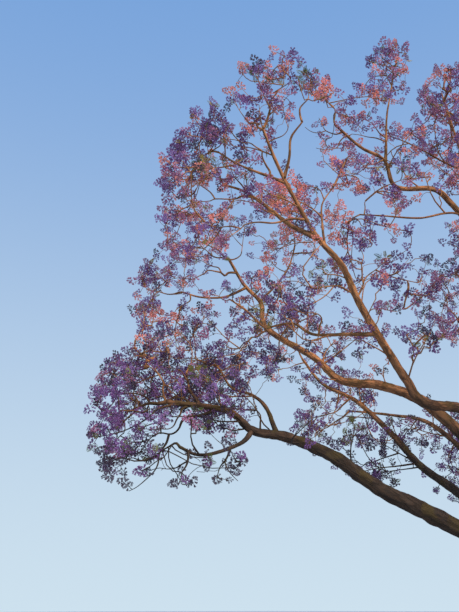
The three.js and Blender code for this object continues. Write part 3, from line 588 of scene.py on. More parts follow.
# Panicles: shapes to choose from, a turn of any size, how flowers lift from the foot to the
# top in degrees with their stray, and what a panicle turns towards: its twig's way, away from
# the crown's middle and up, with its stray
PANICLE_SHAPES = 8
ANY_TURN = 6.3
FLOWER_LIFT = (-15, 80)
LIFT_STRAY = 14
CROWN_MIDDLE = (-1.0, 0.0, 5.5)
ALONG_TWIG = 0.8
OUTWARD = 0.5
UPWARD = (0, 0, 0.2)
PANICLE_STRAY = 0.25

# Leaves: pairs of pinnae, how many leaves a leafy tip has, and the chance that another tip has
# some and how many
PINNA_PAIRS = 8
LEAFY_COUNT = 4
LEAF_CHANCE = 0.13
LEAF_COUNT = 2

# Dice of their own for the blossom and the leaves
BLOSSOM_SEED = SEED + 101
LEAF_SEED = SEED + 202

# Stage: the key light's angle and turns in degrees, the floor's sides and how far it lies
# below the ground, and how far the camera sees
KEY_ANGLE = 24
KEY_TURNS = (58, 0, 38)
FLOOR_SIDES = 128
FLOOR_DROP = 0.002
CAMERA_REACH = 500


def length_setting(name, description, default, least):
    """A length among the settings."""
    return FloatProperty(
        name=name, description=description, default=default, min=least, unit="LENGTH")


def colour_setting(name, description, default):
    """A colour among the settings."""
    return FloatVectorProperty(
        name=name, description=description, subtype="COLOR", default=default)


class TreeSizes(bpy.types.PropertyGroup):
    """Sizes of the tree's fine parts."""

    bark_relief: length_setting(
        "Bark relief", "Depth of the bark's furrows on a thick limb", 0.022, 0)
    bark_step: length_setting(
        "Bark step", "Distance between the bark's rings of points", 0.05, 0.02)
    sprays: FloatProperty(
        name="Sprays", description="Flower panicles in a cubic metre of a mass one metre in radius",
        default=58, min=1)
    flowers: IntProperty(
        name="Flowers", description="Flowers on a panicle", default=21, min=3)
    flower_length: length_setting(
        "Flower length", "Length of one trumpet flower", 0.045, 0.02)
    panicle_length: length_setting(
        "Panicle length", "Length of a flower panicle", 0.135, 0.05)
    leaf_length: length_setting(
        "Leaf length", "Length of a feathered leaf", 0.14, 0.05)


class TreeColours(bpy.types.PropertyGroup):
    """Colours of the bark, the blossom and the leaves."""

    # Bark below: grey-brown bark, darkened as painted shade on the trunk and lower boughs
    bark_low_with_painted_shade: colour_setting(
        "Bark below", "Grey-brown bark on the trunk and the lower boughs", (0.057, 0.042, 0.032))
    # Bark above: its golden brown is painted sunlight on the upper limbs
    bark_painted_sunlight: colour_setting(
        "Bark above", "Golden brown bark on the upper limbs", (0.78, 0.34, 0.13))
    moss: colour_setting(
        "Moss", "Yellow-green moss on the upper side of limbs", (0.1, 0.072, 0.018))
    violet: colour_setting("Violet", "Deep violet blossom", (0.21, 0.09, 0.28))
    lilac: colour_setting("Lilac", "Light lilac blossom", (0.33, 0.19, 0.45))
    mauve: colour_setting("Mauve", "Reddish mauve blossom", (0.47, 0.2, 0.34))
    # Salmon: painted sunlight on the blossom
    salmon: colour_setting("Salmon", "Salmon pink blossom", (1.0, 0.34, 0.27))
    # Dusk: painted shade, grey violet for the blossom in shade under the crown
    painted_shade_tint: colour_setting("Dusk", "Grey violet blossom under the crown", (0.085, 0.06, 0.105))
    leaf: colour_setting("Leaf", "Full grown leaf", (0.1, 0.13, 0.03))
    young_leaf: colour_setting("Young leaf", "Yellow-green young leaf", (0.4, 0.28, 0.04))


class StageSettings(bpy.types.PropertyGroup):
    """Floor, backdrop and light."""

    floor_radius: length_setting("Floor radius", "Radius of the round floor", 90, 10)
    floor: colour_setting("Floor", "Colour of the floor", (0.62, 0.63, 0.64))
    backdrop_low: colour_setting(
        "Backdrop below", "Pale colour behind the tree at the floor's edge", (0.62, 0.76, 0.86))
    backdrop_high: colour_setting(
        "Backdrop above", "Colour behind the tree high up", (0.17, 0.35, 0.7))
    key: colour_setting("Key light", "Warm colour of the key light", (1.0, 0.8, 0.6))
    key_strength: FloatProperty(
        name="Key strength", description="Strength of the key light", default=3.1, min=0)


def placed(u, v, far):
    """Point of space that the photograph shows at a pixel, on the upright plane y = far."""
    across = (u - MIDDLE[0]) / FOCAL
    lift = (MIDDLE[1] - v) / FOCAL
    ahead = math.cos(TILT) - lift * math.sin(TILT)
    upward = math.sin(TILT) + lift * math.cos(TILT)
    way = np.array((across, ahead, upward))
    return EYE + way * (far - EYE[1]) / way[1]


def depth_of(points):
    """How far points lie in front of the photograph's camera."""
    offset = np.atleast_2d(points) - EYE
    return offset[:, 1] * math.cos(TILT) + offset[:, 2] * math.sin(TILT)


def seen(points):
    """Pixels at which the photograph shows points of space."""
    offset = np.atleast_2d(points) - EYE
    rise = offset[:, 2] * math.cos(TILT) - offset[:, 1] * math.sin(TILT)
    depth = np.maximum(depth_of(points), LEAST_DEPTH)
    return MIDDLE + FOCAL * (np.stack([offset[:, 0], -rise], axis=1) / depth[:, None])


def within(pixels, places, grown=0.0):
    """Which pixels lie in one of a list of oval places."""
    inside = np.zeros(len(pixels), bool)
    for u, v, wide, high in places:
        offset = (pixels - (u, v)) / (wide + grown, high + grown)
        inside |= (offset ** 2).sum(axis=1) < 1
    return inside


def unit(vectors):
    """Vectors scaled to a length of one."""
    return vectors / np.maximum(np.linalg.norm(vectors, axis=-1, keepdims=True), 1e-9)


class Curve:
    """Centripetal curve through knots, the same as in the part's source."""

    def __init__(self, knots):
        self.knots = np.array(knots, float)
        before = 2 * self.knots[0] - self.knots[1]
        after = 2 * self.knots[-1] - self.knots[-2]
        self.row = np.vstack([before, self.knots, after])
        self.legs = len(self.knots) - 1

    def at(self, parts):
        """Points at parts of the curve, from 0 to 1."""
        place = np.clip(np.atleast_1d(parts), 0, 1) * self.legs
        leg = np.minimum(place.astype(int), self.legs - 1)
        share = (place - leg)[:, None]
        p0, p1, p2, p3 = (self.row[leg + k] for k in range(4))
        pairs = ((p0, p1), (p1, p2), (p2, p3))
        d0, d1, d2 = (np.sqrt(np.linalg.norm(b - a, axis=1))[:, None] for a, b in pairs)
        start = ((p1 - p0) / d0 - (p2 - p0) / (d0 + d1) + (p2 - p1) / d1) * d1
        end = ((p2 - p1) / d1 - (p3 - p1) / (d1 + d2) + (p3 - p2) / d2) * d1
        square = 3 * (p2 - p1) - 2 * start - end
        cube = 2 * (p1 - p2) + start + end
        return p1 + start * share + square * share ** 2 + cube * share ** 3

    def way(self, part):
        """Direction at one part of the curve."""
        ends = self.at([max(part - 1e-4, 0), min(part + 1e-4, 1)])
        return unit(ends[1] - ends[0])

    def even_parts(self, step):
        """Parts of the curve that lie about one step apart."""
        fine = np.linspace(0, 1, self.legs * 24 + 1)
        gaps = np.linalg.norm(np.diff(self.at(fine), axis=0), axis=1)
        run = np.concatenate([[0], np.cumsum(gaps)])
        count = max(3, int(math.ceil(run[-1] / step)) + 1)
        return np.interp(np.linspace(0, run[-1], count), run, fine), run[-1]


def walk(start, legs):
    """Curve that starts at a point and follows legs of length, bearing and rise."""
    knots = [np.array(start, float)]
    for length, bearing, rise in legs:
        turn, lift = math.radians(bearing), math.radians(rise)
        flat = math.cos(lift)
        way = np.array((math.cos(turn) * flat, math.sin(turn) * flat, math.sin(lift)))
        knots.append(knots[-1] + way * length)
    return Curve(knots)


def growth_share(points):
    """How dense the growth is at points, as the photograph shows it there."""
    pixels = seen(points)
    share = np.where(pixels[:, 0] < FRAME_RIGHT, SEEN_SHARE, 1.0)
    for *place, part in reversed(DENSITY_PLACES):
        share[within(pixels, [place])] = part
    return share


class Limb:
    """A bough or branch: its curve, its length and its taper."""

    def __init__(self, curve, foot, tip):
        self.curve = curve
        self.foot = foot
        self.tip = tip
        self.length = curve.even_parts(SAMPLE_STEP)[1]

    def radius(self, part):
        """Radius at parts of the limb, with the collar at its foot."""
        taper = self.tip + (self.foot - self.tip) * (1 - part) ** TAPER_BOW
        collar = self.foot * COLLAR_SWELL * np.exp(-part * self.length / COLLAR_REACH)
        return (taper + collar) / 2 * np.interp(self.foot, SLIM_FEET, SLIM_SHARES)


def grow_limbs():
    """All limbs by name, each from its place on its parent."""
    curves = {"trunk": walk((0, 0, 0), TRUNK_LEAN)}
    limbs = {}
    for name, (parent, legs_before, foot, tip, legs) in LIMBS.items():
        carrier = curves[parent]
        curves[name] = walk(carrier.at(legs_before / carrier.legs)[0], legs)
        limbs[name] = Limb(curves[name], foot, tip)
    return limbs


def grow_fine_boughs(limbs):
    """The finer boughs by name, each from the nearest point of what carries it."""
    carriers = dict(limbs)
    for name, (carrier, drift, foot, tip, pixels) in FINE_BOUGHS.items():
        line = carriers[carrier].curve.at(CARRIER_PARTS)
        start = line[np.argmin(np.linalg.norm(seen(line) - pixels[0], axis=1))]
        share = np.linspace(0, 1, len(pixels))
        shifted = np.array(pixels) + (seen(start)[0] - pixels[0]) * (1 - share)[:, None]
        knots = [start] + [placed(u, v, start[1] + drift * part)
                           for (u, v), part in zip(shifted[1:], share[1:])]
        carriers[name] = Limb(Curve(knots), foot, tip)
    return {name: carriers[name] for name in FINE_BOUGHS}


class Dice:
    """The source's seeded dice."""

    def __init__(self, seed):
        self.state = seed

    def between(self, low, high):
        """The next number, between low and high."""
        self.state = (self.state * DICE_FACTOR + DICE_STEP) % DICE_RANGE
        return low + (high - low) * self.state / DICE_RANGE


class Space:
    """Room of one mass: an ellipsoid cut back by flat sides towards its neighbours."""

    def __init__(self, order, limb, step, half):
        self.order = order
        self.limb = limb
        self.tip = limb.curve.at(1)[0]
        self.centre = self.tip + step
        self.half = np.array(half)
        self.size = self.half.mean()
        self.sides = []

    def cut_back(self, others):
        """Adds the flat sides halfway to each near neighbour."""
        for other in others:
            way = other.centre - self.centre
            gap = np.linalg.norm(way)
            if other is self or gap == 0:
                continue
            way = way / gap
            mine = np.linalg.norm(self.half * way)
            theirs = np.linalg.norm(other.half * way)
            if gap < mine + theirs + SIDE_MARGIN:
                self.sides.append((way, gap * mine / (mine + theirs) - SIDE_MARGIN))

    def holds(self, points, share=1.0):
        """Which points lie in the space, or in a share of it."""
        offset = np.atleast_2d(points) - self.centre
        inside = np.linalg.norm(offset / self.half, axis=1) <= share
        for way, reach in self.sides:
            inside &= offset @ way < reach
        return inside


class Twigs:
    """Twigs that reach from what carries them to one tip after another."""

    def __init__(self):
        self.points = np.zeros((MOST_JOINTS, 3))
        self.ways = np.zeros((MOST_JOINTS, 3))
        self.parents = []
        self.least = []
        self.rods = []
        self.tips = []

    def add(self, point, way, parent, least=0.0):
        """Adds one joint of a twig and returns its number."""
        number = len(self.parents)
        self.points[number] = point
        self.ways[number] = way
        self.parents.append(parent)
        self.least.append(least)
        return number

    def add_line(self, points, parent, least, drawn=True):
        """Adds a row of joints along points, each with its least radius."""
        ways = unit(np.gradient(points, axis=0))
        rod = [] if parent < 0 else [parent]
        for point, way, radius in zip(points, ways, least):
            parent = self.add(point, way, parent, radius)
            rod.append(parent)
        if drawn:
            self.rods.append(rod)
        return rod

    def reach(self, tip, dice):
        """Grows a bent twig to a tip from the joint that suits it best, unless it crosses sky."""
        count = len(self.parents)
        gaps = tip - self.points[:count]
        far = np.maximum(np.linalg.norm(gaps, axis=1), 1e-6)
        bend = 1 - (gaps * self.ways[:count]).sum(axis=1) / far
        foot = int(np.argmin(far * (1 + BEND_COST * bend)))
        start, length = self.points[foot], far[foot]
        lead = unit(self.ways[foot] * SET_OUT + gaps[foot] / length)
        knee = start + lead * length * 0.5 + dice.normal(0, KNEE_STRAY, 3) * length
        share = np.linspace(0, 1, int(min(TWIG_JOINTS, 3 + length / FINE_STEP)))[:, None]
        line = start * (1 - share) ** 2 + 2 * knee * share * (1 - share) + tip * share ** 2
        line += np.sin(share * 3 * math.pi) * dice.normal(0, WAVE_STRAY, 3) * length
        if length > LONGEST_REACH or (length > SKY_REACH and not clear_of_sky(line[1:]).all()):
            return
        ways = unit(np.gradient(line, axis=0))
        rod = [foot]
        for point, way in zip(line[1:], ways[1:]):
            rod.append(self.add(point, way, rod[-1]))
        self.rods.append(rod)
        self.tips.append(rod[-1])

    def radii(self):
        """Radius at each joint, thicker the more tips it carries."""
        loads = np.zeros(len(self.parents))
        loads[self.tips] = 1
        for number in range(len(self.parents) - 1, -1, -1):
            if self.parents[number] >= 0:
                loads[self.parents[number]] += loads[number]
        grown = TWIG_TIP_RADIUS * np.maximum(loads, 1) ** THICKENING
        least = np.array(self.least)
        return np.where(least > 0, np.clip(grown, least, least * JOINT_SWELL), grown)


def sight_lines(limbs):
    """Samples along limbs as the photograph shows them: pixel, depth and half width."""
    rows = []
    for limb in limbs:
        parts = limb.curve.even_parts(SAMPLE_STEP)[0]
        points = limb.curve.at(parts)
        depth = depth_of(points)
        rows.append(np.column_stack([seen(points), depth, limb.radius(parts) * FOCAL / depth]))
    return np.vstack(rows)


def hides_limb(points, lines):
    """Which points would hide a limb in the photograph."""
    gap = np.linalg.norm(seen(points)[:, None] - lines[None, :, :2], axis=2) - lines[:, 3]
    before = depth_of(points)[:, None] < lines[:, 2]
    return ((gap < LIMB_MARGIN) & before).any(axis=1)


def spread_places(space, wanted, dice, lines):
    """Places in small clumps all through a space, with more clumps towards its outside."""
    room = 8 * space.half.prod()
    count = int(room * wanted * DENSEST * space.size ** -SMALL_DENSER / CLUMP)
    steps = SPREAD_ROOT ** -np.arange(1, 4)
    even = (0.5 + np.arange(1, count + 1)[:, None] * steps) % 1
    stray = dice.normal(0, MIDDLE_STRAY, (count, 3))
    middles = space.centre + (even * 2 - 1) * space.half + stray
    out = np.linalg.norm((middles - space.centre) / space.half, axis=1)
    chance = CORE_SHARE + (1 - CORE_SHARE) * np.clip(out / CORE_EDGE, 0, 1) ** 2
    run = np.cumsum(chance * growth_share(middles) / DENSEST)
    middles = middles[np.diff(np.floor(run), prepend=0) > 0]
    points = np.repeat(middles, CLUMP, axis=0)
    stray = dice.normal(0, 1, points.shape) * CLUMP_STRAY
    points = points + stray * dice.uniform(*CLUMP_WIDTHS, (len(points), 1))
    points = points[space.holds(points, FILL_REACH) & clear_of_sky(points)]
    return points[~hides_limb(points, lines) | (dice.random(len(points)) > LIMB_CLEAR)]


def clear_of_sky(points):
    """Which points leave the photograph's sky free: inside the crown's edge, off its openings."""
    pixels = seen(points)
    u, v = pixels[:, 0], pixels[:, 1]
    above = np.interp(u, EDGE_ABOVE[:, 0], EDGE_ABOVE[:, 1]) + EDGE_MARGIN
    below = np.interp(u, EDGE_BELOW[:, 0], EDGE_BELOW[:, 1]) - EDGE_MARGIN
    inside = (u > EDGE_ABOVE[0, 0] + EDGE_MARGIN / 2) & (v > above) & (v < below)
    beyond = u > FRAME_RIGHT
    in_box = np.all((points > solid_box[0]) & (points < solid_box[1]), axis=1)
    return (inside | beyond) & ~within(pixels, SKY_OPENINGS, 4) & in_box


def grow_mass(space, stem, crown, sizes):
    """Stem, twigs and tips of one mass: the source's rule, then finer twigs to each place."""
    source_dice = Dice(SEED + space.order)
    dice = np.random.default_rng(SEED + space.order)
    along = space.limb.curve.way(1)
    outward = unit(space.centre - space.tip)
    end = space.centre + outward * space.size * STEM_REACH
    own = stem is None
    if own:
        stem = Curve([space.tip, space.tip + along * STEM_RUN, space.centre, end])
    axis = unit(end - space.tip)
    twigs = Twigs()
    least = np.linspace(space.limb.tip, STEM_TIP, STEM_JOINTS) / 2
    stem_rod = twigs.add_line(stem.at(np.linspace(0, 1, STEM_JOINTS)), -1, least, drawn=own)
    count = round(TWIGS_BASE + TWIGS_A_METRE * space.size)
    places = []
    first = source_dice.between(0, 2 * math.pi)
    for k in range(count):
        level = 1 - 2 * (k + 0.5) / count
        turn = first + k * GOLDEN_ANGLE
        flat = math.sqrt(1 - level * level)
        way = np.array((math.cos(turn) * flat, math.sin(turn) * flat, level))
        part = min(max(TWIG_MIDDLE + TWIG_LEAD * way @ axis, TWIG_PLACES[0]), TWIG_PLACES[1])
        places.append(grow_twig(twigs, space, stem, stem_rod, part, way, dice))
    for bough in crown.fine.values():
        parts = bough.curve.even_parts(SAMPLE_STEP)[0]
        points = bough.curve.at(parts)
        near = space.holds(points, NEAR_SPACE)
        if near.sum() > 1:
            twigs.add_line(points[near], -1, bough.radius(parts)[near], drawn=False)
    places = np.vstack([*places, spread_places(space, sizes.sprays, dice, crown.lines)])
    joints = twigs.points[None, :len(twigs.parents)]
    nearness = np.linalg.norm(places[:, None] - joints, axis=2).min(axis=1)
    for place in places[np.argsort(nearness)]:
        twigs.reach(place, dice)
    return twigs


def clump_round(point, dice):
    """Places of the sprays round the end of a twig or bough."""
    return point + dice.normal(0, 1, (END_TIPS, 3)) * CLUMP_STRAY


def grow_twig(twigs, space, stem, stem_rod, part, way, dice):
    """One of the source's twigs, as far as the space lets it, and the places round its end."""
    foot = stem.at(part)[0]
    parent = stem_rod[int(round(part * (len(stem_rod) - 1)))]
    for reach in TWIG_REACHES:
        end = space.centre + way * space.half * reach
        share = np.linspace(0, 1, TWIG_JOINTS)[:, None]
        line = foot + share * (end - foot)
        bow = np.sin(share * math.pi) * dice.normal(0, TWIG_BOWS[0], 3)
        bow += np.sin(share * 2 * math.pi) * dice.normal(0, TWIG_BOWS[1], 3)
        if space.holds(line).all() and clear_of_sky((line + bow)[2:]).all():
            least = np.linspace(TWIG_FOOT_RADIUS, TWIG_TIP_RADIUS, TWIG_JOINTS - 1)
            twigs.add_line((line + bow)[1:], parent, least)
            around = clump_round(end, dice)
            return around[space.holds(around) & clear_of_sky(around)]
    return np.zeros((0, 3))


def grow_side_branches(limb, spaces, dice, start, wanted, lines):
    """Side branches along one limb, each with twigs and tips, where no mass's space lies."""
    parts = limb.curve.even_parts(SIDE_STEP)[0]
    growths = []
    for number, part in enumerate(parts[parts >= start]):
        foot, way = limb.curve.at(part)[0], limb.curve.way(part)
        turn = number * GOLDEN_ANGLE + limb.length
        side = unit(np.cross(way, (0.3, 0.2, 1.0)))
        across = side * math.cos(turn) + np.cross(way, side) * math.sin(turn)
        heading = unit(across + way * SIDE_FOLLOW + (0, 0, SIDE_LIFT))
        reach = dice.uniform(*SIDE_REACH) * (SIDE_TAPER[0] - SIDE_TAPER[1] * part)
        centre = foot + heading * reach * SIDE_MIDDLE
        room = Space(0, limb, centre - limb.curve.at(1)[0], SIDE_ROOM * reach)
        places = spread_places(room, wanted, dice, lines)
        for space in spaces:
            places = places[~space.holds(places)]
        if len(places) < SIDE_FEWEST:
            continue
        bend = foot + unit(way + across) * reach * SIDE_BEND
        stem = Curve([foot, bend, places.mean(axis=0)]).at(np.linspace(0, 1, TWIG_JOINTS))
        if not clear_of_sky(stem[2:]).all():
            continue
        twigs = Twigs()
        twigs.add_line(stem, -1, np.linspace(*SIDE_RADII, TWIG_JOINTS))
        for place in places[np.argsort(np.linalg.norm(places - foot, axis=1))]:
            twigs.reach(place, dice)
        growths.append(twigs)
    return growths


def grow_end(bough, dice):
    """Twigs and tips round the far end of a fine bough."""
    points = bough.curve.at(END_PARTS)
    twigs = Twigs()
    twigs.add_line(points, -1, bough.radius(END_PARTS), drawn=False)
    places = clump_round(points[-1], dice)
    for place in places[clear_of_sky(places)]:
        twigs.reach(place, dice)
    return twigs


class Crown:
    """The whole crown, grown once for all operators that make pieces of it."""

    grown = None

    def __init__(self, sizes):
        self.limbs = grow_limbs()
        self.fine = grow_fine_boughs(self.limbs)
        self.lines = sight_lines([*self.limbs.values(), *self.fine.values()])
        spaces = []
        for order, (limb, step, half) in enumerate(MASSES.values()):
            spaces.append(Space(order, self.limbs[limb], step, half))
        growths = []
        for name, space in zip(MASSES, spaces):
            space.cut_back(spaces)
            stem = self.fine[STEMS[name]].curve if name in STEMS else None
            growths.append(grow_mass(space, stem, self, sizes))
        dice = np.random.default_rng(SEED)
        wanted = sizes.sprays * SIDE_SPRAYS
        for limb in self.limbs.values():
            growths += grow_side_branches(limb, spaces, dice, SIDE_START, wanted, self.lines)
        for bough in self.fine.values():
            growths += grow_side_branches(bough, spaces, dice, FINE_START, wanted, self.lines)
            growths.append(grow_end(bough, dice))
        self.rods = []
        points, ways = [], []
        for twigs in growths:
            radii = twigs.radii()
            for rod in twigs.rods:
                thick = radii[rod]
                thick[0] = min(thick[0], thick[1] * FOOT_SWELL)
                self.rods.append((twigs.points[rod], thick))
            points.append(twigs.points[twigs.tips])
            ways.append(twigs.ways[twigs.tips])
        self.tips = np.vstack(points)
        self.tip_ways = np.vstack(ways)
        self.tints = deal_tints(self.tips, dice)
        pixels = seen(self.tips)
        self.leafy = within(pixels, LEAFY_PLACES) & (self.tips[:, 1] < FRONT_LIMIT)
        self.tints[self.leafy & (dice.random(len(self.tips)) < LEAFY_SHARE)] = -1
        self.tints[within(pixels, BARE_PLACES) & (dice.random(len(self.tips)) < BARE_SHARE)] = -1

    @classmethod
    def get(cls):
        """The crown, grown at the first call."""
        if cls.grown is None:
            cls.grown = cls(bpy.context.scene.tree_sizes)
        return cls.grown


def deal_tints(tips, dice):
    """Number of each tip's tint, by its place in the crown, with salmon painted sunlight high up
    and in patches and the dusk tint's painted shade low down.
    """
    pixels = seen(tips)
    height = np.clip((tips[:, 2] - MIX_START) / MIX_RISE, 0, 1)[:, None]
    mix = np.array(LOW_MIX) * (1 - height) + np.array(HIGH_MIX) * height
    in_frame = (pixels[:, 0] < FRAME_RIGHT) & (tips[:, 1] < FRONT_LIMIT)
    # Below this row the blossom takes the dusk mix, painted shade under the crown
    mix[(pixels[:, 1] > PAINTED_SHADE_ROW) & in_frame] = PAINTED_SHADE_MIX
    mix[within(pixels, VIOLET_PLACES) & in_frame] = VIOLET_MIX
    mix[within(pixels, PAINTED_SUNLIGHT_PLACES) & in_frame] = PAINTED_SUNLIGHT_MIX
    # Patches of the salmon tint, painted sunlight, stronger higher up, in place of violet
    patch = np.array([noise.noise(Vector(tip) * PATCH_SCALE) for tip in tips])
    patch *= PATCH_STRENGTH * (0.3 + 0.7 * height[:, 0])
    mix[:, TINTS.index("salmon")] *= np.clip(1 + patch, 0.1, 3)
    mix[:, TINTS.index("violet")] *= np.clip(1 - patch, 0.2, 3)
    bounds = np.cumsum(mix / mix.sum(axis=1, keepdims=True), axis=1)
    return (dice.random(len(tips))[:, None] > bounds).sum(axis=1).clip(0, len(TINTS) - 1)


def rod_mesh(points, radii, sides):
    """Corners and triangles of a tapering rod along points, closed at its far end."""
    ways = unit(np.gradient(points, axis=0))
    lean = ways.mean(axis=0)
    side = np.eye(3)[np.argmin(np.abs(lean))]
    across = unit(side - (ways @ side)[:, None] * ways)
    beside = np.cross(ways, across)
    turns = np.arange(sides) * 2 * math.pi / sides
    ring = across[:, None] * np.cos(turns)[:, None] + beside[:, None] * np.sin(turns)[:, None]
    corners = (points[:, None] + ring * radii[:, None, None]).reshape(-1, 3)
    starts = np.arange(len(points) - 1)[:, None] * sides
    near = (starts + np.arange(sides)).ravel()
    turned = (starts + (np.arange(sides) + 1) % sides).ravel()
    walls = np.concatenate([np.stack([near, turned, turned + sides], 1),
                            np.stack([near, turned + sides, near + sides], 1)])
    last = (len(points) - 1) * sides
    fan = np.array([(last, last + k, last + k + 1) for k in range(1, sides - 1)])
    return corners, np.vstack([walls, fan])


def joined(parts):
    """Corners and triangles of many small shapes as one list of each."""
    corners = np.vstack([part[0] for part in parts])
    starts = np.cumsum([0] + [len(part[0]) for part in parts[:-1]])
    faces = np.vstack([part[1] + start for part, start in zip(parts, starts)])
    return corners, faces


def mesh_from(name, corners, faces, smooth):
    """Mesh of triangles."""
    mesh = bpy.data.meshes.new(name)
    mesh.vertices.add(len(corners))
    mesh.vertices.foreach_set("co", corners.astype(np.float32).ravel())
    mesh.loops.add(faces.size)
    mesh.loops.foreach_set("vertex_index", faces.astype(np.int32).ravel())
    mesh.polygons.add(len(faces))
    mesh.polygons.foreach_set("loop_start", np.arange(0, faces.size, 3, dtype=np.int32))
    mesh.polygons.foreach_set("use_smooth", np.full(len(faces), smooth))
    mesh.update(calc_edges=True)
    return mesh


def mesh_of(bm, name):
    """Mesh of a finished bmesh, which is freed."""
    mesh = bpy.data.meshes.new(name)
    bm.to_mesh(mesh)
    bm.free()
    return mesh


def linked(name, data):
    """Object of a mesh, a light or a camera, in the scene."""
    made = bpy.data.objects.new(name, data)
    bpy.context.scene.collection.objects.link(made)
    return made


def add_piece(mesh, material, nodes=()):
    """Object of a finished mesh, riding on the tree's one body."""
    mesh.materials.append(material)
    piece = linked(mesh.name, mesh)
    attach(piece, "root")
    if nodes:
        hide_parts(*nodes)


class Value:
    """A shader socket that can be reckoned with."""

    def __init__(self, finish, socket):
        self.finish = finish
        self.socket = socket

    def _math(self, operation, first, second=None):
        inputs = {0: first} if second is None else {0: first, 1: second}
        return self.finish.node("ShaderNodeMath", {"operation": operation}, inputs)

    def __add__(self, other):
        return self._math("ADD", self, other)

    __radd__ = __add__

    def __sub__(self, other):
        return self._math("SUBTRACT", self, other)

    def __rsub__(self, other):
        return self._math("SUBTRACT", other, self)

    def __mul__(self, other):
        return self._math("MULTIPLY", self, other)

    __rmul__ = __mul__

    def __abs__(self):
        return self._math("ABSOLUTE", self)


class Finish:
    """A material, or a backdrop, under construction: its shader and a few ways to feed it."""

    def __init__(self, owner, shader):
        owner.use_nodes = True
        self.owner = owner
        self.tree = owner.node_tree
        self.shader = self.tree.nodes[shader]

    @classmethod
    def material(cls, name, roughness, specular=0.3, sheen=0.0):
        """A new material with what is the same all over it."""
        self = cls(bpy.data.materials.new(name), "Principled BSDF")
        self.shader.inputs["Roughness"].default_value = roughness
        self.shader.inputs["Specular IOR Level"].default_value = specular
        self.shader.inputs["Sheen Weight"].default_value = sheen
        return self

    def node(self, kind, settings=None, inputs=None, output=0):
        """Adds a node, sets it up, feeds its sockets and returns one of its outputs."""
        made = self.tree.nodes.new(kind)
        for name, value in (settings or {}).items():
            setattr(made, name, value)
        for name, value in (inputs or {}).items():
            if isinstance(value, Value):
                self.tree.links.new(value.socket, made.inputs[name])
            else:
                made.inputs[name].default_value = value
        return Value(self, made.outputs[output])

    def place(self):
        """The piece's own coordinates."""
        return self.node("ShaderNodeTexCoord", output="Object")

    def upright(self, vector):
        """A vector's upright part."""
        return self.node("ShaderNodeSeparateXYZ", inputs={"Vector": vector}, output="Z")

    def attribute(self, name):
        """A vector that the mesh carries."""
        return self.node("ShaderNodeAttribute", {"attribute_name": name}, output="Vector")

    def speckle(self, where, scale, detail=3.0, roughness=0.55):
        """Noise from 0 to 1."""
        inputs = {"Vector": where, "Scale": scale, "Detail": detail, "Roughness": roughness}
        return self.node("ShaderNodeTexNoise", inputs=inputs, output="Fac")

    def part(self, value, low, high):
        """A value's way from low to high, smoothed and kept between 0 and 1."""
        inputs = {"Value": value, "From Min": low, "From Max": high}
        return self.node("ShaderNodeMapRange", {"interpolation_type": "SMOOTHSTEP"}, inputs)

    def blend(self, share, first, second, kind="MIX"):
        """Two colours mixed by a share."""
        settings = {"data_type": "RGBA", "blend_type": kind}
        return self.node("ShaderNodeMix", settings, {0: share, 6: first, 7: second}, output=2)

    def feed(self, **sockets):
        """Links values to the shader's sockets, with spaces in place of underscores."""
        for name, value in sockets.items():
            self.tree.links.new(value.socket, self.shader.inputs[name.replace("_", " ")])
        return self.owner


def opaque(colour):
    """A colour with its alpha."""
    return (*colour, 1.0)


def bark_tone(finish, place):
    """Bark's colour: dark low down and golden high up, the gold painted sunlight, with painted
    light on its upper side and painted shade beneath, and its patches and upper side.
    """
    colours = bpy.context.scene.tree_colours
    height = finish.upright(place)
    upward = finish.upright(finish.node("ShaderNodeNewGeometry", output="Normal"))
    patches = finish.speckle(place, 1.7, 4.0)
    # The golden painted sunlight grows with height, mottled by the patches
    high_up = finish.part(height + patches * 2.2, 5.2, 7.3)
    # Painted light on the upper side, as the gold's share, and painted shade below
    painted_lit_side = finish.part(upward, -0.7, 0.4)
    # Less of the golden painted sunlight on faces turned straight up and at the very top
    upmost_less_gold = finish.part(upward, 0.3, 1.0) * 0.55
    topmost = finish.part(height, 6.8, 8.2) * 0.3
    share = high_up * (0.6 + painted_lit_side * 0.4) * (1 - upmost_less_gold) * (1 - topmost)
    base = finish.blend(share, opaque(colours.bark_low_with_painted_shade), opaque(colours.bark_painted_sunlight))
    # Painted shade multiplied onto the undersides, less of it where the bark is golden
    painted_underside_shade = (1 - painted_lit_side) * (0.8 - high_up * 0.5)
    return finish.blend(painted_underside_shade, base, opaque(UNDERSIDE_SHADE_TONE), "MULTIPLY"), patches, upward


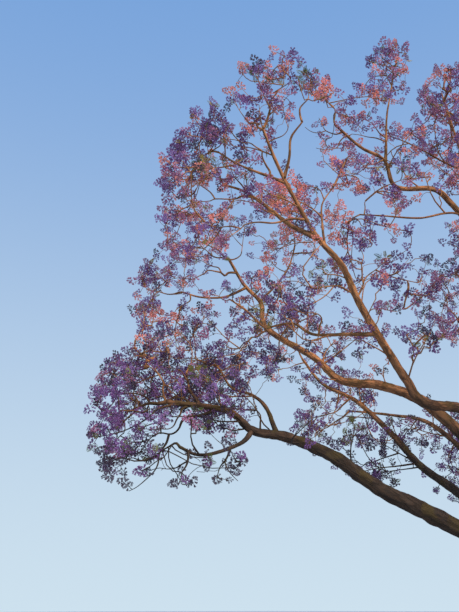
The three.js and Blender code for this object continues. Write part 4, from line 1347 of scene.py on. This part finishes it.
def bark_finish():
    """Bark: grey-brown below and golden above, the gold painted sunlight, with painted shade on
    undersides and in the furrows, patched and mossy on top.
    """
    colours = bpy.context.scene.tree_colours
    finish = Finish.material("limb_bark", 0.88)
    place = finish.place()
    grain = finish.attribute("grain")
    base, patches, upward = bark_tone(finish, place)
    fibres = finish.speckle(grain, 26.0, 5.0, 0.65)
    furrows = 1 - finish.part(abs(finish.speckle(grain, 8.0, 3.0) - 0.5), 0.0, 0.1)
    ridges = finish.part(finish.speckle(grain, 5.0, 4.0), 0.5, 0.64)
    grey = finish.part(patches, 0.5, 0.68)
    raised = finish.blend(ridges * 0.6, base, opaque(RAISED_TONE), "MULTIPLY")
    pale = finish.blend(grey * 0.25, raised, opaque(PALE_TONE))
    fibred = finish.blend(finish.part(fibres, 0.4, 0.72) * 0.36, pale, opaque(FIBRE_TONE))
    # Painted shade darkens the furrows
    dark = finish.blend(furrows * 0.62, fibred, opaque(FURROW_SHADE_TONE))
    upper_side = finish.part(upward, -1.2, 0.6)
    moss_share = upper_side * finish.part(finish.speckle(place, 2.3, 5.0), 0.5, 0.62)
    mossy = finish.blend(moss_share * 0.6, dark, opaque(colours.moss))
    relief = fibres * 0.6 + ridges * 0.5 - furrows * 1.2
    inputs = {"Strength": 0.7, "Distance": 0.012, "Height": relief}
    bump = finish.node("ShaderNodeBump", inputs=inputs)
    return finish.feed(Base_Color=mossy, Roughness=0.8 + fibres * 0.2, Normal=bump)


def twig_finish():
    """Twigs: the bark's tone with its painted sunlight and shade, with darker rings."""
    finish = Finish.material("twig_bark", 0.85)
    place = finish.place()
    base = bark_tone(finish, place)[0]
    rings = finish.part(finish.speckle(place, 60.0, 2.0), 0.4, 0.62)
    return finish.feed(Base_Color=finish.blend(rings * 0.5, base, opaque(RING_TONE)))


def petal_finish(tint):
    """Petals of one tint: lighter and deeper from cluster to cluster, streaked within each."""
    colour = getattr(bpy.context.scene.tree_colours, tint)
    finish = Finish.material("petals_" + tint, 0.62, 0.2, 0.15)
    place = finish.place()
    clusters = finish.speckle(place, 3.2, 2.0)
    streaks = finish.speckle(place, 48.0, 2.0)
    deep = opaque([part * 0.45 for part in colour])
    light = opaque([min(1.0, part * 1.45 + 0.03) for part in colour])
    body = finish.blend(finish.part(clusters, 0.34, 0.66), deep, opaque(colour))
    streaked = finish.part(streaks, 0.42, 0.66) * 0.75
    return finish.feed(Base_Color=finish.blend(streaked, body, light))


def leaf_finish():
    """Leaves: green, with yellow-green young ones in patches."""
    colours = bpy.context.scene.tree_colours
    finish = Finish.material("leaf_green", 0.55, 0.35)
    place = finish.place()
    high_up = finish.part(finish.upright(place), 3.5, 7.0)
    young = finish.part(finish.speckle(place, 1.4, 3.0), 0.38, 0.6) * high_up
    base = finish.blend(young, opaque(colours.leaf), opaque(colours.young_leaf))
    ribs = finish.part(finish.speckle(place, 70.0, 2.0), 0.45, 0.65)
    return finish.feed(Base_Color=finish.blend(ribs * 0.4, base, opaque(colours.leaf)))


def bark_radius(shape, sideways, radius, run, relief):
    """Radius of the bark at a point: the limb's own with swellings, knots and furrows."""
    wide = max(radius, 0.04)
    swell = noise.noise(Vector((sideways.x, sideways.y, run / wide * 0.22)) + shape)
    knot = noise.noise(Vector((sideways.x * 2.1, sideways.y * 2.1, run / wide * 0.8)) + shape)
    around = 1.2 + 9 * wide
    groove = noise.noise(Vector((sideways.x * around, sideways.y * around, run * 2.6)) + shape)
    depth = relief * min(1.0, radius / 0.22)
    swollen = radius * (1 + BARK_SWELL * swell + BARK_KNOTS * knot)
    return swollen - depth * max(0.0, 1 - abs(groove) * 4)


def set_bark(mesh, points, grain):
    """Gives a bark mesh its points and the vectors that its pattern follows."""
    mesh.vertices.foreach_set("co", points.astype(np.float32).ravel())
    stored = mesh.attributes.new("grain", "FLOAT_VECTOR", "POINT")
    stored.data.foreach_set("vector", grain.astype(np.float32).ravel())
    mesh.polygons.foreach_set("use_smooth", np.ones(len(mesh.polygons), bool))
    mesh.update()


def mesh_points(mesh):
    """Points of a mesh as rows."""
    points = np.zeros(len(mesh.vertices) * 3, np.float32)
    mesh.vertices.foreach_get("co", points)
    return points.reshape(-1, 3).astype(float)


def make_trunk_bark(sizes):
    """Trunk: a turned outline with root lobes, a lean and furrowed bark, flat at the ground."""
    heights, radii = np.array(TRUNK_SIDE).T
    shoulder, top = heights[-2:]
    levels = np.concatenate([
        np.arange(0, shoulder, sizes.bark_step * 0.7), np.linspace(shoulder, top, 4)])
    bm = bmesh.new()
    row = [bm.verts.new((0, 0, 0))]
    for level in levels:
        row.append(bm.verts.new((np.interp(level, heights, radii), 0, level)))
    edges = [bm.edges.new(pair) for pair in zip(row, row[1:])]
    bmesh.ops.spin(bm, geom=row + edges, cent=(0, 0, 0), axis=(0, 0, 1), angle=2 * math.pi,
                   steps=TRUNK_STEPS, use_merge=True)
    bmesh.ops.remove_doubles(bm, verts=bm.verts, dist=1e-4)
    bmesh.ops.recalc_face_normals(bm, faces=bm.faces)
    mesh = mesh_of(bm, "bark_trunk")
    shape = mesh_points(mesh)
    lean = walk((0, 0, 0), TRUNK_LEAN)
    offset = lean.at(shape[:, 2] / lean.knots[-1][2])
    radius = np.linalg.norm(shape[:, :2], axis=1)
    turn = np.arctan2(shape[:, 1], shape[:, 0])
    lobes = 1 + FLARE_DEPTH * np.exp(-shape[:, 2] / FLARE_HEIGHT) * np.cos(FLARE_LOBES * turn)
    points = shape.copy()
    relief = sizes.bark_relief * TRUNK_RELIEF
    for number, (x, y, z) in enumerate(shape):
        if radius[number] > 0.05:
            sideways = Vector((x, y)) / radius[number]
            bark = bark_radius(Vector((3, 7, 1)), sideways, radius[number], z, relief)
            points[number, :2] = np.array(sideways) * bark * lobes[number]
    points[:, :2] += offset[:, :2]
    grain = np.column_stack([shape[:, :2], shape[:, 2] * GRAIN_STRETCH])
    set_bark(mesh, points, grain)
    return mesh


def carried_frames(points):
    """Directions across and beside a row of points, carried along it without twisting."""
    ways = unit(np.gradient(points, axis=0))
    across = np.zeros_like(points)
    side = np.array((0.0, 1.0, 0.0))
    for number, way in enumerate(ways):
        side = unit(side - (side @ way) * way)
        across[number] = side
    return across, np.cross(ways, across)


def make_limb_bark(name, limb, sizes, seed):
    """Limb: a tube drawn along its curve, with swellings, knots and furrows."""
    parts, length = limb.curve.even_parts(sizes.bark_step)
    centres = limb.curve.at(parts)
    radii = limb.radius(parts)
    sides = int(np.clip(2 * math.pi * radii.mean() / FACET, *LIMB_SIDES))
    bm = bmesh.new()
    bmesh.ops.create_cone(bm, cap_ends=True, segments=sides, radius1=1, radius2=1, depth=1)
    uprights = [edge for edge in bm.edges if abs(edge.verts[0].co.z - edge.verts[1].co.z) > 0.5]
    bmesh.ops.subdivide_edges(bm, edges=uprights, cuts=len(parts) - 2)
    mesh = mesh_of(bm, name)
    shape = mesh_points(mesh)
    rings = np.rint((shape[:, 2] + 0.5) * (len(parts) - 1)).astype(int)
    across, beside = carried_frames(centres)
    runs = np.linspace(0, length, len(parts))
    bark = np.zeros(len(shape))
    for number, (x, y, _) in enumerate(shape):
        ring = rings[number]
        bark[number] = bark_radius(seed, Vector((x, y)), radii[ring], runs[ring], sizes.bark_relief)
    flat = shape[:, 0:1] * across[rings] + shape[:, 1:2] * beside[rings]
    points = centres[rings] + flat * bark[:, None]
    grain = np.column_stack([shape[:, :2] * radii[rings][:, None], runs[rings] * GRAIN_STRETCH])
    set_bark(mesh, points, grain)
    return mesh


def flower_shape(length):
    """Trumpet flower: five petals that open from a narrow throat, one face each."""
    middles = np.radians(np.arange(PETALS) * 360 / PETALS)[:, None]
    turns = middles + np.radians((-PETAL_ANGLE, PETAL_ANGLE))
    flat = np.stack([np.cos(turns), np.sin(turns)], axis=2).reshape(-1, 2) * RIM_WIDTH
    rim = np.column_stack([flat, np.ones(len(flat))]) * length
    faces = [(0, 2 * petal + 1, 2 * petal + 2) for petal in range(PETALS)]
    return np.vstack([np.zeros((1, 3)), rim]), np.array(faces)


def turned_to(ways, rolls):
    """Rotations that turn +Z to each way, after a roll about +Z."""
    ways = unit(ways)
    steep = np.abs(ways[:, 2:3]) >= 0.9
    side = np.where(steep, np.array([[1.0, 0.0, 0.0]]), np.array([[0.0, 0.0, 1.0]]))
    across = unit(np.cross(side, ways))
    beside = np.cross(ways, across)
    cos, sin = np.cos(rolls)[:, None], np.sin(rolls)[:, None]
    return np.stack([across * cos + beside * sin, beside * cos - across * sin, ways], axis=2)


def strewn(shape, points, turns, scales):
    """Copies of a shape at points, turned and scaled, as one list of corners and triangles."""
    corners, faces = shape
    copies = np.einsum("nij,kj->nki", turns, corners) * scales[:, None, None] + points[:, None]
    starts = (np.arange(len(points)) * len(corners))[:, None, None]
    return copies.reshape(-1, 3), (faces[None] + starts).reshape(-1, 3)


def panicle_shape(sizes, dice):
    """Panicle: flowers round an axis along +Z, hanging out at its foot and upright at its top."""
    count = sizes.flowers
    share = (np.arange(count) + 0.5) / count
    turns = np.arange(count) * GOLDEN_ANGLE + dice.uniform(0, ANY_TURN)
    stray = dice.normal(0, LIFT_STRAY, count)
    lift = np.radians(FLOWER_LIFT[0] + FLOWER_LIFT[1] * share ** 1.4 + stray)
    out = np.column_stack([np.cos(turns), np.sin(turns), np.zeros(count)])
    ways = out * np.cos(lift)[:, None] + np.array((0, 0, 1)) * np.sin(lift)[:, None]
    stalk = sizes.panicle_length * (0.3 - 0.22 * share) * dice.uniform(0.5, 1.2, count)
    axis = np.column_stack([np.zeros((count, 2)), share * sizes.panicle_length])
    feet = out * stalk[:, None] + axis
    scales = dice.uniform(0.8, 1.15, count) * (1.1 - 0.35 * share)
    rolls = dice.uniform(0, ANY_TURN, count)
    return strewn(flower_shape(sizes.flower_length), feet, turned_to(ways, rolls), scales)


def leaf_shape(sizes):
    """Feathered leaf along +Z: a drooping rib with pairs of narrow pinnae."""
    length = sizes.leaf_length

    def bend(share):
        return np.array((0.3 * length * share ** 2, 0, length * share))

    corners = [bend(0) + (0, -0.004, 0), bend(0) + (0, 0.004, 0), bend(1)]
    faces = [(0, 1, 2)]
    for pair in range(PINNA_PAIRS):
        share = 0.22 + 0.76 * pair / (PINNA_PAIRS - 1)
        reach = length * 0.34 * math.sin(math.pi * (0.16 + 0.8 * share)) + 0.01
        for side in (-1, 1):
            foot = bend(share)
            tip = foot + np.array((0.1 * reach, side * reach * 0.92, reach * 0.42))
            half = (tip - foot) * 0.5
            wide = np.array((0, 0, 0.052 * length))
            number = len(corners)
            corners += [foot, foot + half - wide, tip, foot + half + wide]
            faces += [(number, number + 1, number + 2), (number, number + 2, number + 3)]
    return np.array(corners), np.array(faces)


class JACARANDA_OT_trunk(bpy.types.Operator):
    """Make the trunk with its root flare and bark"""

    bl_idname = "jacaranda.trunk"
    bl_label = "Trunk"

    def execute(self, context):
        mesh = make_trunk_bark(context.scene.tree_sizes)
        add_piece(mesh, material_once("limb_bark", bark_finish), ["trunk"])
        return {"FINISHED"}


class JACARANDA_OT_limbs(bpy.types.Operator):
    """Make the boughs and branches, each with its bark, and the finer boughs that they carry"""

    bl_idname = "jacaranda.limbs"
    bl_label = "Boughs and branches"

    def execute(self, context):
        crown = Crown.get()
        sizes = context.scene.tree_sizes
        finish = material_once("limb_bark", bark_finish)
        for number, (name, limb) in enumerate(crown.limbs.items()):
            mesh = make_limb_bark("bark_" + name, limb, sizes, Vector((number * 11.3, 5, 2)))
            add_piece(mesh, finish, [name])
        bm = bmesh.new()
        for number, bough in enumerate(crown.fine.values()):
            mesh = make_limb_bark("fine_bough", bough, sizes, Vector((4, number * 7.7, 9)))
            bm.from_mesh(mesh)
            bpy.data.meshes.remove(mesh)
        add_piece(mesh_of(bm, "fine_boughs"), finish)
        return {"FINISHED"}


class JACARANDA_OT_twigs(bpy.types.Operator):
    """Make all twigs, from each mass's stem to the flowers' stalks"""

    bl_idname = "jacaranda.twigs"
    bl_label = "Twigs"

    def execute(self, context):
        finish = material_once("twig_bark", twig_finish)
        batch, total, number = [], 0, 1
        rods = Crown.get().rods
        for order, (points, radii) in enumerate(rods):
            sides = next(sides for most, sides in ROD_SIDES if radii.max() < most)
            batch.append(rod_mesh(points, radii, sides))
            total += len(batch[-1][1])
            if total > MOST_TRIANGLES or order == len(rods) - 1:
                add_piece(mesh_from(f"twigs_{number}", *joined(batch), True), finish)
                batch, total, number = [], 0, number + 1
        return {"FINISHED"}


class JACARANDA_OT_blossom(bpy.types.Operator):
    """Make the flower panicles, in pieces by tint, in place of the foliage masses"""

    bl_idname = "jacaranda.blossom"
    bl_label = "Blossom"

    def execute(self, context):
        crown = Crown.get()
        sizes = context.scene.tree_sizes
        dice = np.random.default_rng(BLOSSOM_SEED)
        shapes = [panicle_shape(sizes, dice) for _ in range(PANICLE_SHAPES)]
        most = MOST_TRIANGLES // len(shapes[0][1])
        masses = list(MASSES)
        outward = unit(crown.tips - CROWN_MIDDLE)
        stray = dice.normal(0, PANICLE_STRAY, crown.tips.shape)
        ways = crown.tip_ways * ALONG_TWIG + outward * OUTWARD + UPWARD + stray
        for tint, (name, slot) in enumerate(zip(TINTS, SLOTS)):
            chosen = np.flatnonzero(crown.tints == tint)
            finish = material_once("petals_" + name, petal_finish, name)
            for number, start in enumerate(range(0, len(chosen), most)):
                some = chosen[start:start + most]
                parts = []
                for kind, shape in enumerate(shapes):
                    these = some[some % PANICLE_SHAPES == kind]
                    turns = turned_to(ways[these], dice.uniform(0, ANY_TURN, len(these)))
                    scales = dice.uniform(0.75, 1.25, len(these))
                    parts.append(strewn(shape, crown.tips[these], turns, scales))
                mesh = mesh_from(f"blossom_{name}_{number + 1}", *joined(parts), False)
                replacing = number == 0 and tint < REPLACING_TINTS
                add_piece(mesh, finish, masses[tint::REPLACING_TINTS] if replacing else ())
        return {"FINISHED"}


class JACARANDA_OT_leaves(bpy.types.Operator):
    """Make the feathered young leaves round some of the tips"""

    bl_idname = "jacaranda.leaves"
    bl_label = "Leaves"

    def execute(self, context):
        crown = Crown.get()
        dice = np.random.default_rng(LEAF_SEED)
        others = (dice.random(len(crown.tips)) < LEAF_CHANCE) * LEAF_COUNT
        count = np.where(crown.leafy, LEAFY_COUNT, others)
        owners = np.repeat(np.arange(len(crown.tips)), count)
        stray = dice.normal(0, 1, (len(owners), 3))
        ways = unit(stray + crown.tip_ways[owners] * ALONG_TWIG + UPWARD)
        turns = turned_to(ways, dice.uniform(0, ANY_TURN, len(owners)))
        scales = dice.uniform(0.6, 1.1, len(owners))
        shape = leaf_shape(context.scene.tree_sizes)
        mesh = mesh_from("leaves", *strewn(shape, crown.tips[owners], turns, scales), False)
        if len(mesh.polygons) > MOST_TRIANGLES:
            raise RuntimeError(f"the leaves have {len(mesh.polygons)} faces, too many")
        add_piece(mesh, material_once("leaf_green", leaf_finish))
        return {"FINISHED"}


class JACARANDA_OT_stage(bpy.types.Operator):
    """Make the floor, the backdrop, the lights and the camera"""

    bl_idname = "jacaranda.stage"
    bl_label = "Stage"

    def execute(self, context):
        settings = context.scene.stage_settings
        bm = bmesh.new()
        bmesh.ops.create_circle(
            bm, cap_ends=True, segments=FLOOR_SIDES, radius=settings.floor_radius)
        bmesh.ops.translate(bm, verts=bm.verts, vec=(0, 0, -FLOOR_DROP))
        mesh = mesh_of(bm, "floor")
        finish = Finish.material("floor_paint", 0.9)
        pale = finish.speckle(finish.place(), 0.35, 2.0)
        colour = opaque(settings.floor)
        soft = opaque([part * 0.94 for part in settings.floor])
        mesh.materials.append(finish.feed(Base_Color=finish.blend(pale, colour, soft)))
        floor = linked("floor", mesh)
        world = bpy.data.worlds.new("backdrop")
        behind = Finish(world, "Background")
        lift = behind.upright(behind.node("ShaderNodeTexCoord", output="Generated"))
        low, high = opaque(settings.backdrop_low), opaque(settings.backdrop_high)
        sky = behind.blend(behind.part(lift, -0.1, 0.85), low, high)
        context.scene.world = behind.feed(Color=sky)
        key = bpy.data.lights.new("key", "SUN")
        key.energy = settings.key_strength
        key.color = settings.key
        key.angle = math.radians(KEY_ANGLE)
        lamp = linked("key", key)
        lamp.rotation_euler = [math.radians(turn) for turn in KEY_TURNS]
        camera = linked("camera", bpy.data.cameras.new("camera"))
        camera.data.lens = LENS
        camera.data.clip_end = CAMERA_REACH
        camera.location = EYE
        camera.rotation_euler = (math.pi / 2 + TILT, 0, 0)
        context.scene.camera = camera
        context.scene.view_settings.view_transform = "Standard"
        return {"FINISHED"}


class JACARANDA_PT_tree(bpy.types.Panel):
    """Lists the tree's operators, sizes and colours"""

    bl_idname = "JACARANDA_PT_tree"
    bl_label = "Jacaranda tree"
    bl_space_type = "VIEW_3D"
    bl_region_type = "UI"
    bl_category = "Jacaranda"

    def draw(self, context):
        for operator in OPERATORS:
            self.layout.operator(operator.bl_idname)
        scene = context.scene
        for group in (scene.tree_sizes, scene.tree_colours, scene.stage_settings):
            box = self.layout.box()
            for name in group.bl_rna.properties.keys():
                if name not in ("rna_type", "name"):
                    box.prop(group, name)


def material_once(name, make, *details):
    """A material by name, made at its first use."""
    return bpy.data.materials.get(name) or make(*details)


OPERATORS = (JACARANDA_OT_stage, JACARANDA_OT_trunk, JACARANDA_OT_limbs, JACARANDA_OT_twigs,
             JACARANDA_OT_blossom, JACARANDA_OT_leaves)
CLASSES = (TreeSizes, TreeColours, StageSettings, *OPERATORS, JACARANDA_PT_tree)


def register():
    """Adds the add-on's classes and settings."""
    for one in CLASSES:
        bpy.utils.register_class(one)
    bpy.types.Scene.tree_sizes = PointerProperty(type=TreeSizes)
    bpy.types.Scene.tree_colours = PointerProperty(type=TreeColours)
    bpy.types.Scene.stage_settings = PointerProperty(type=StageSettings)


def unregister():
    """Removes the add-on's classes and settings."""
    del bpy.types.Scene.stage_settings
    del bpy.types.Scene.tree_colours
    del bpy.types.Scene.tree_sizes
    for one in reversed(CLASSES):
        bpy.utils.unregister_class(one)


def main():
    register()
    bpy.ops.jacaranda.stage()
    bpy.ops.jacaranda.trunk()
    bpy.ops.jacaranda.limbs()
    bpy.ops.jacaranda.twigs()
    bpy.ops.jacaranda.blossom()
    bpy.ops.jacaranda.leaves()


if __name__ == "__main__":
    main()
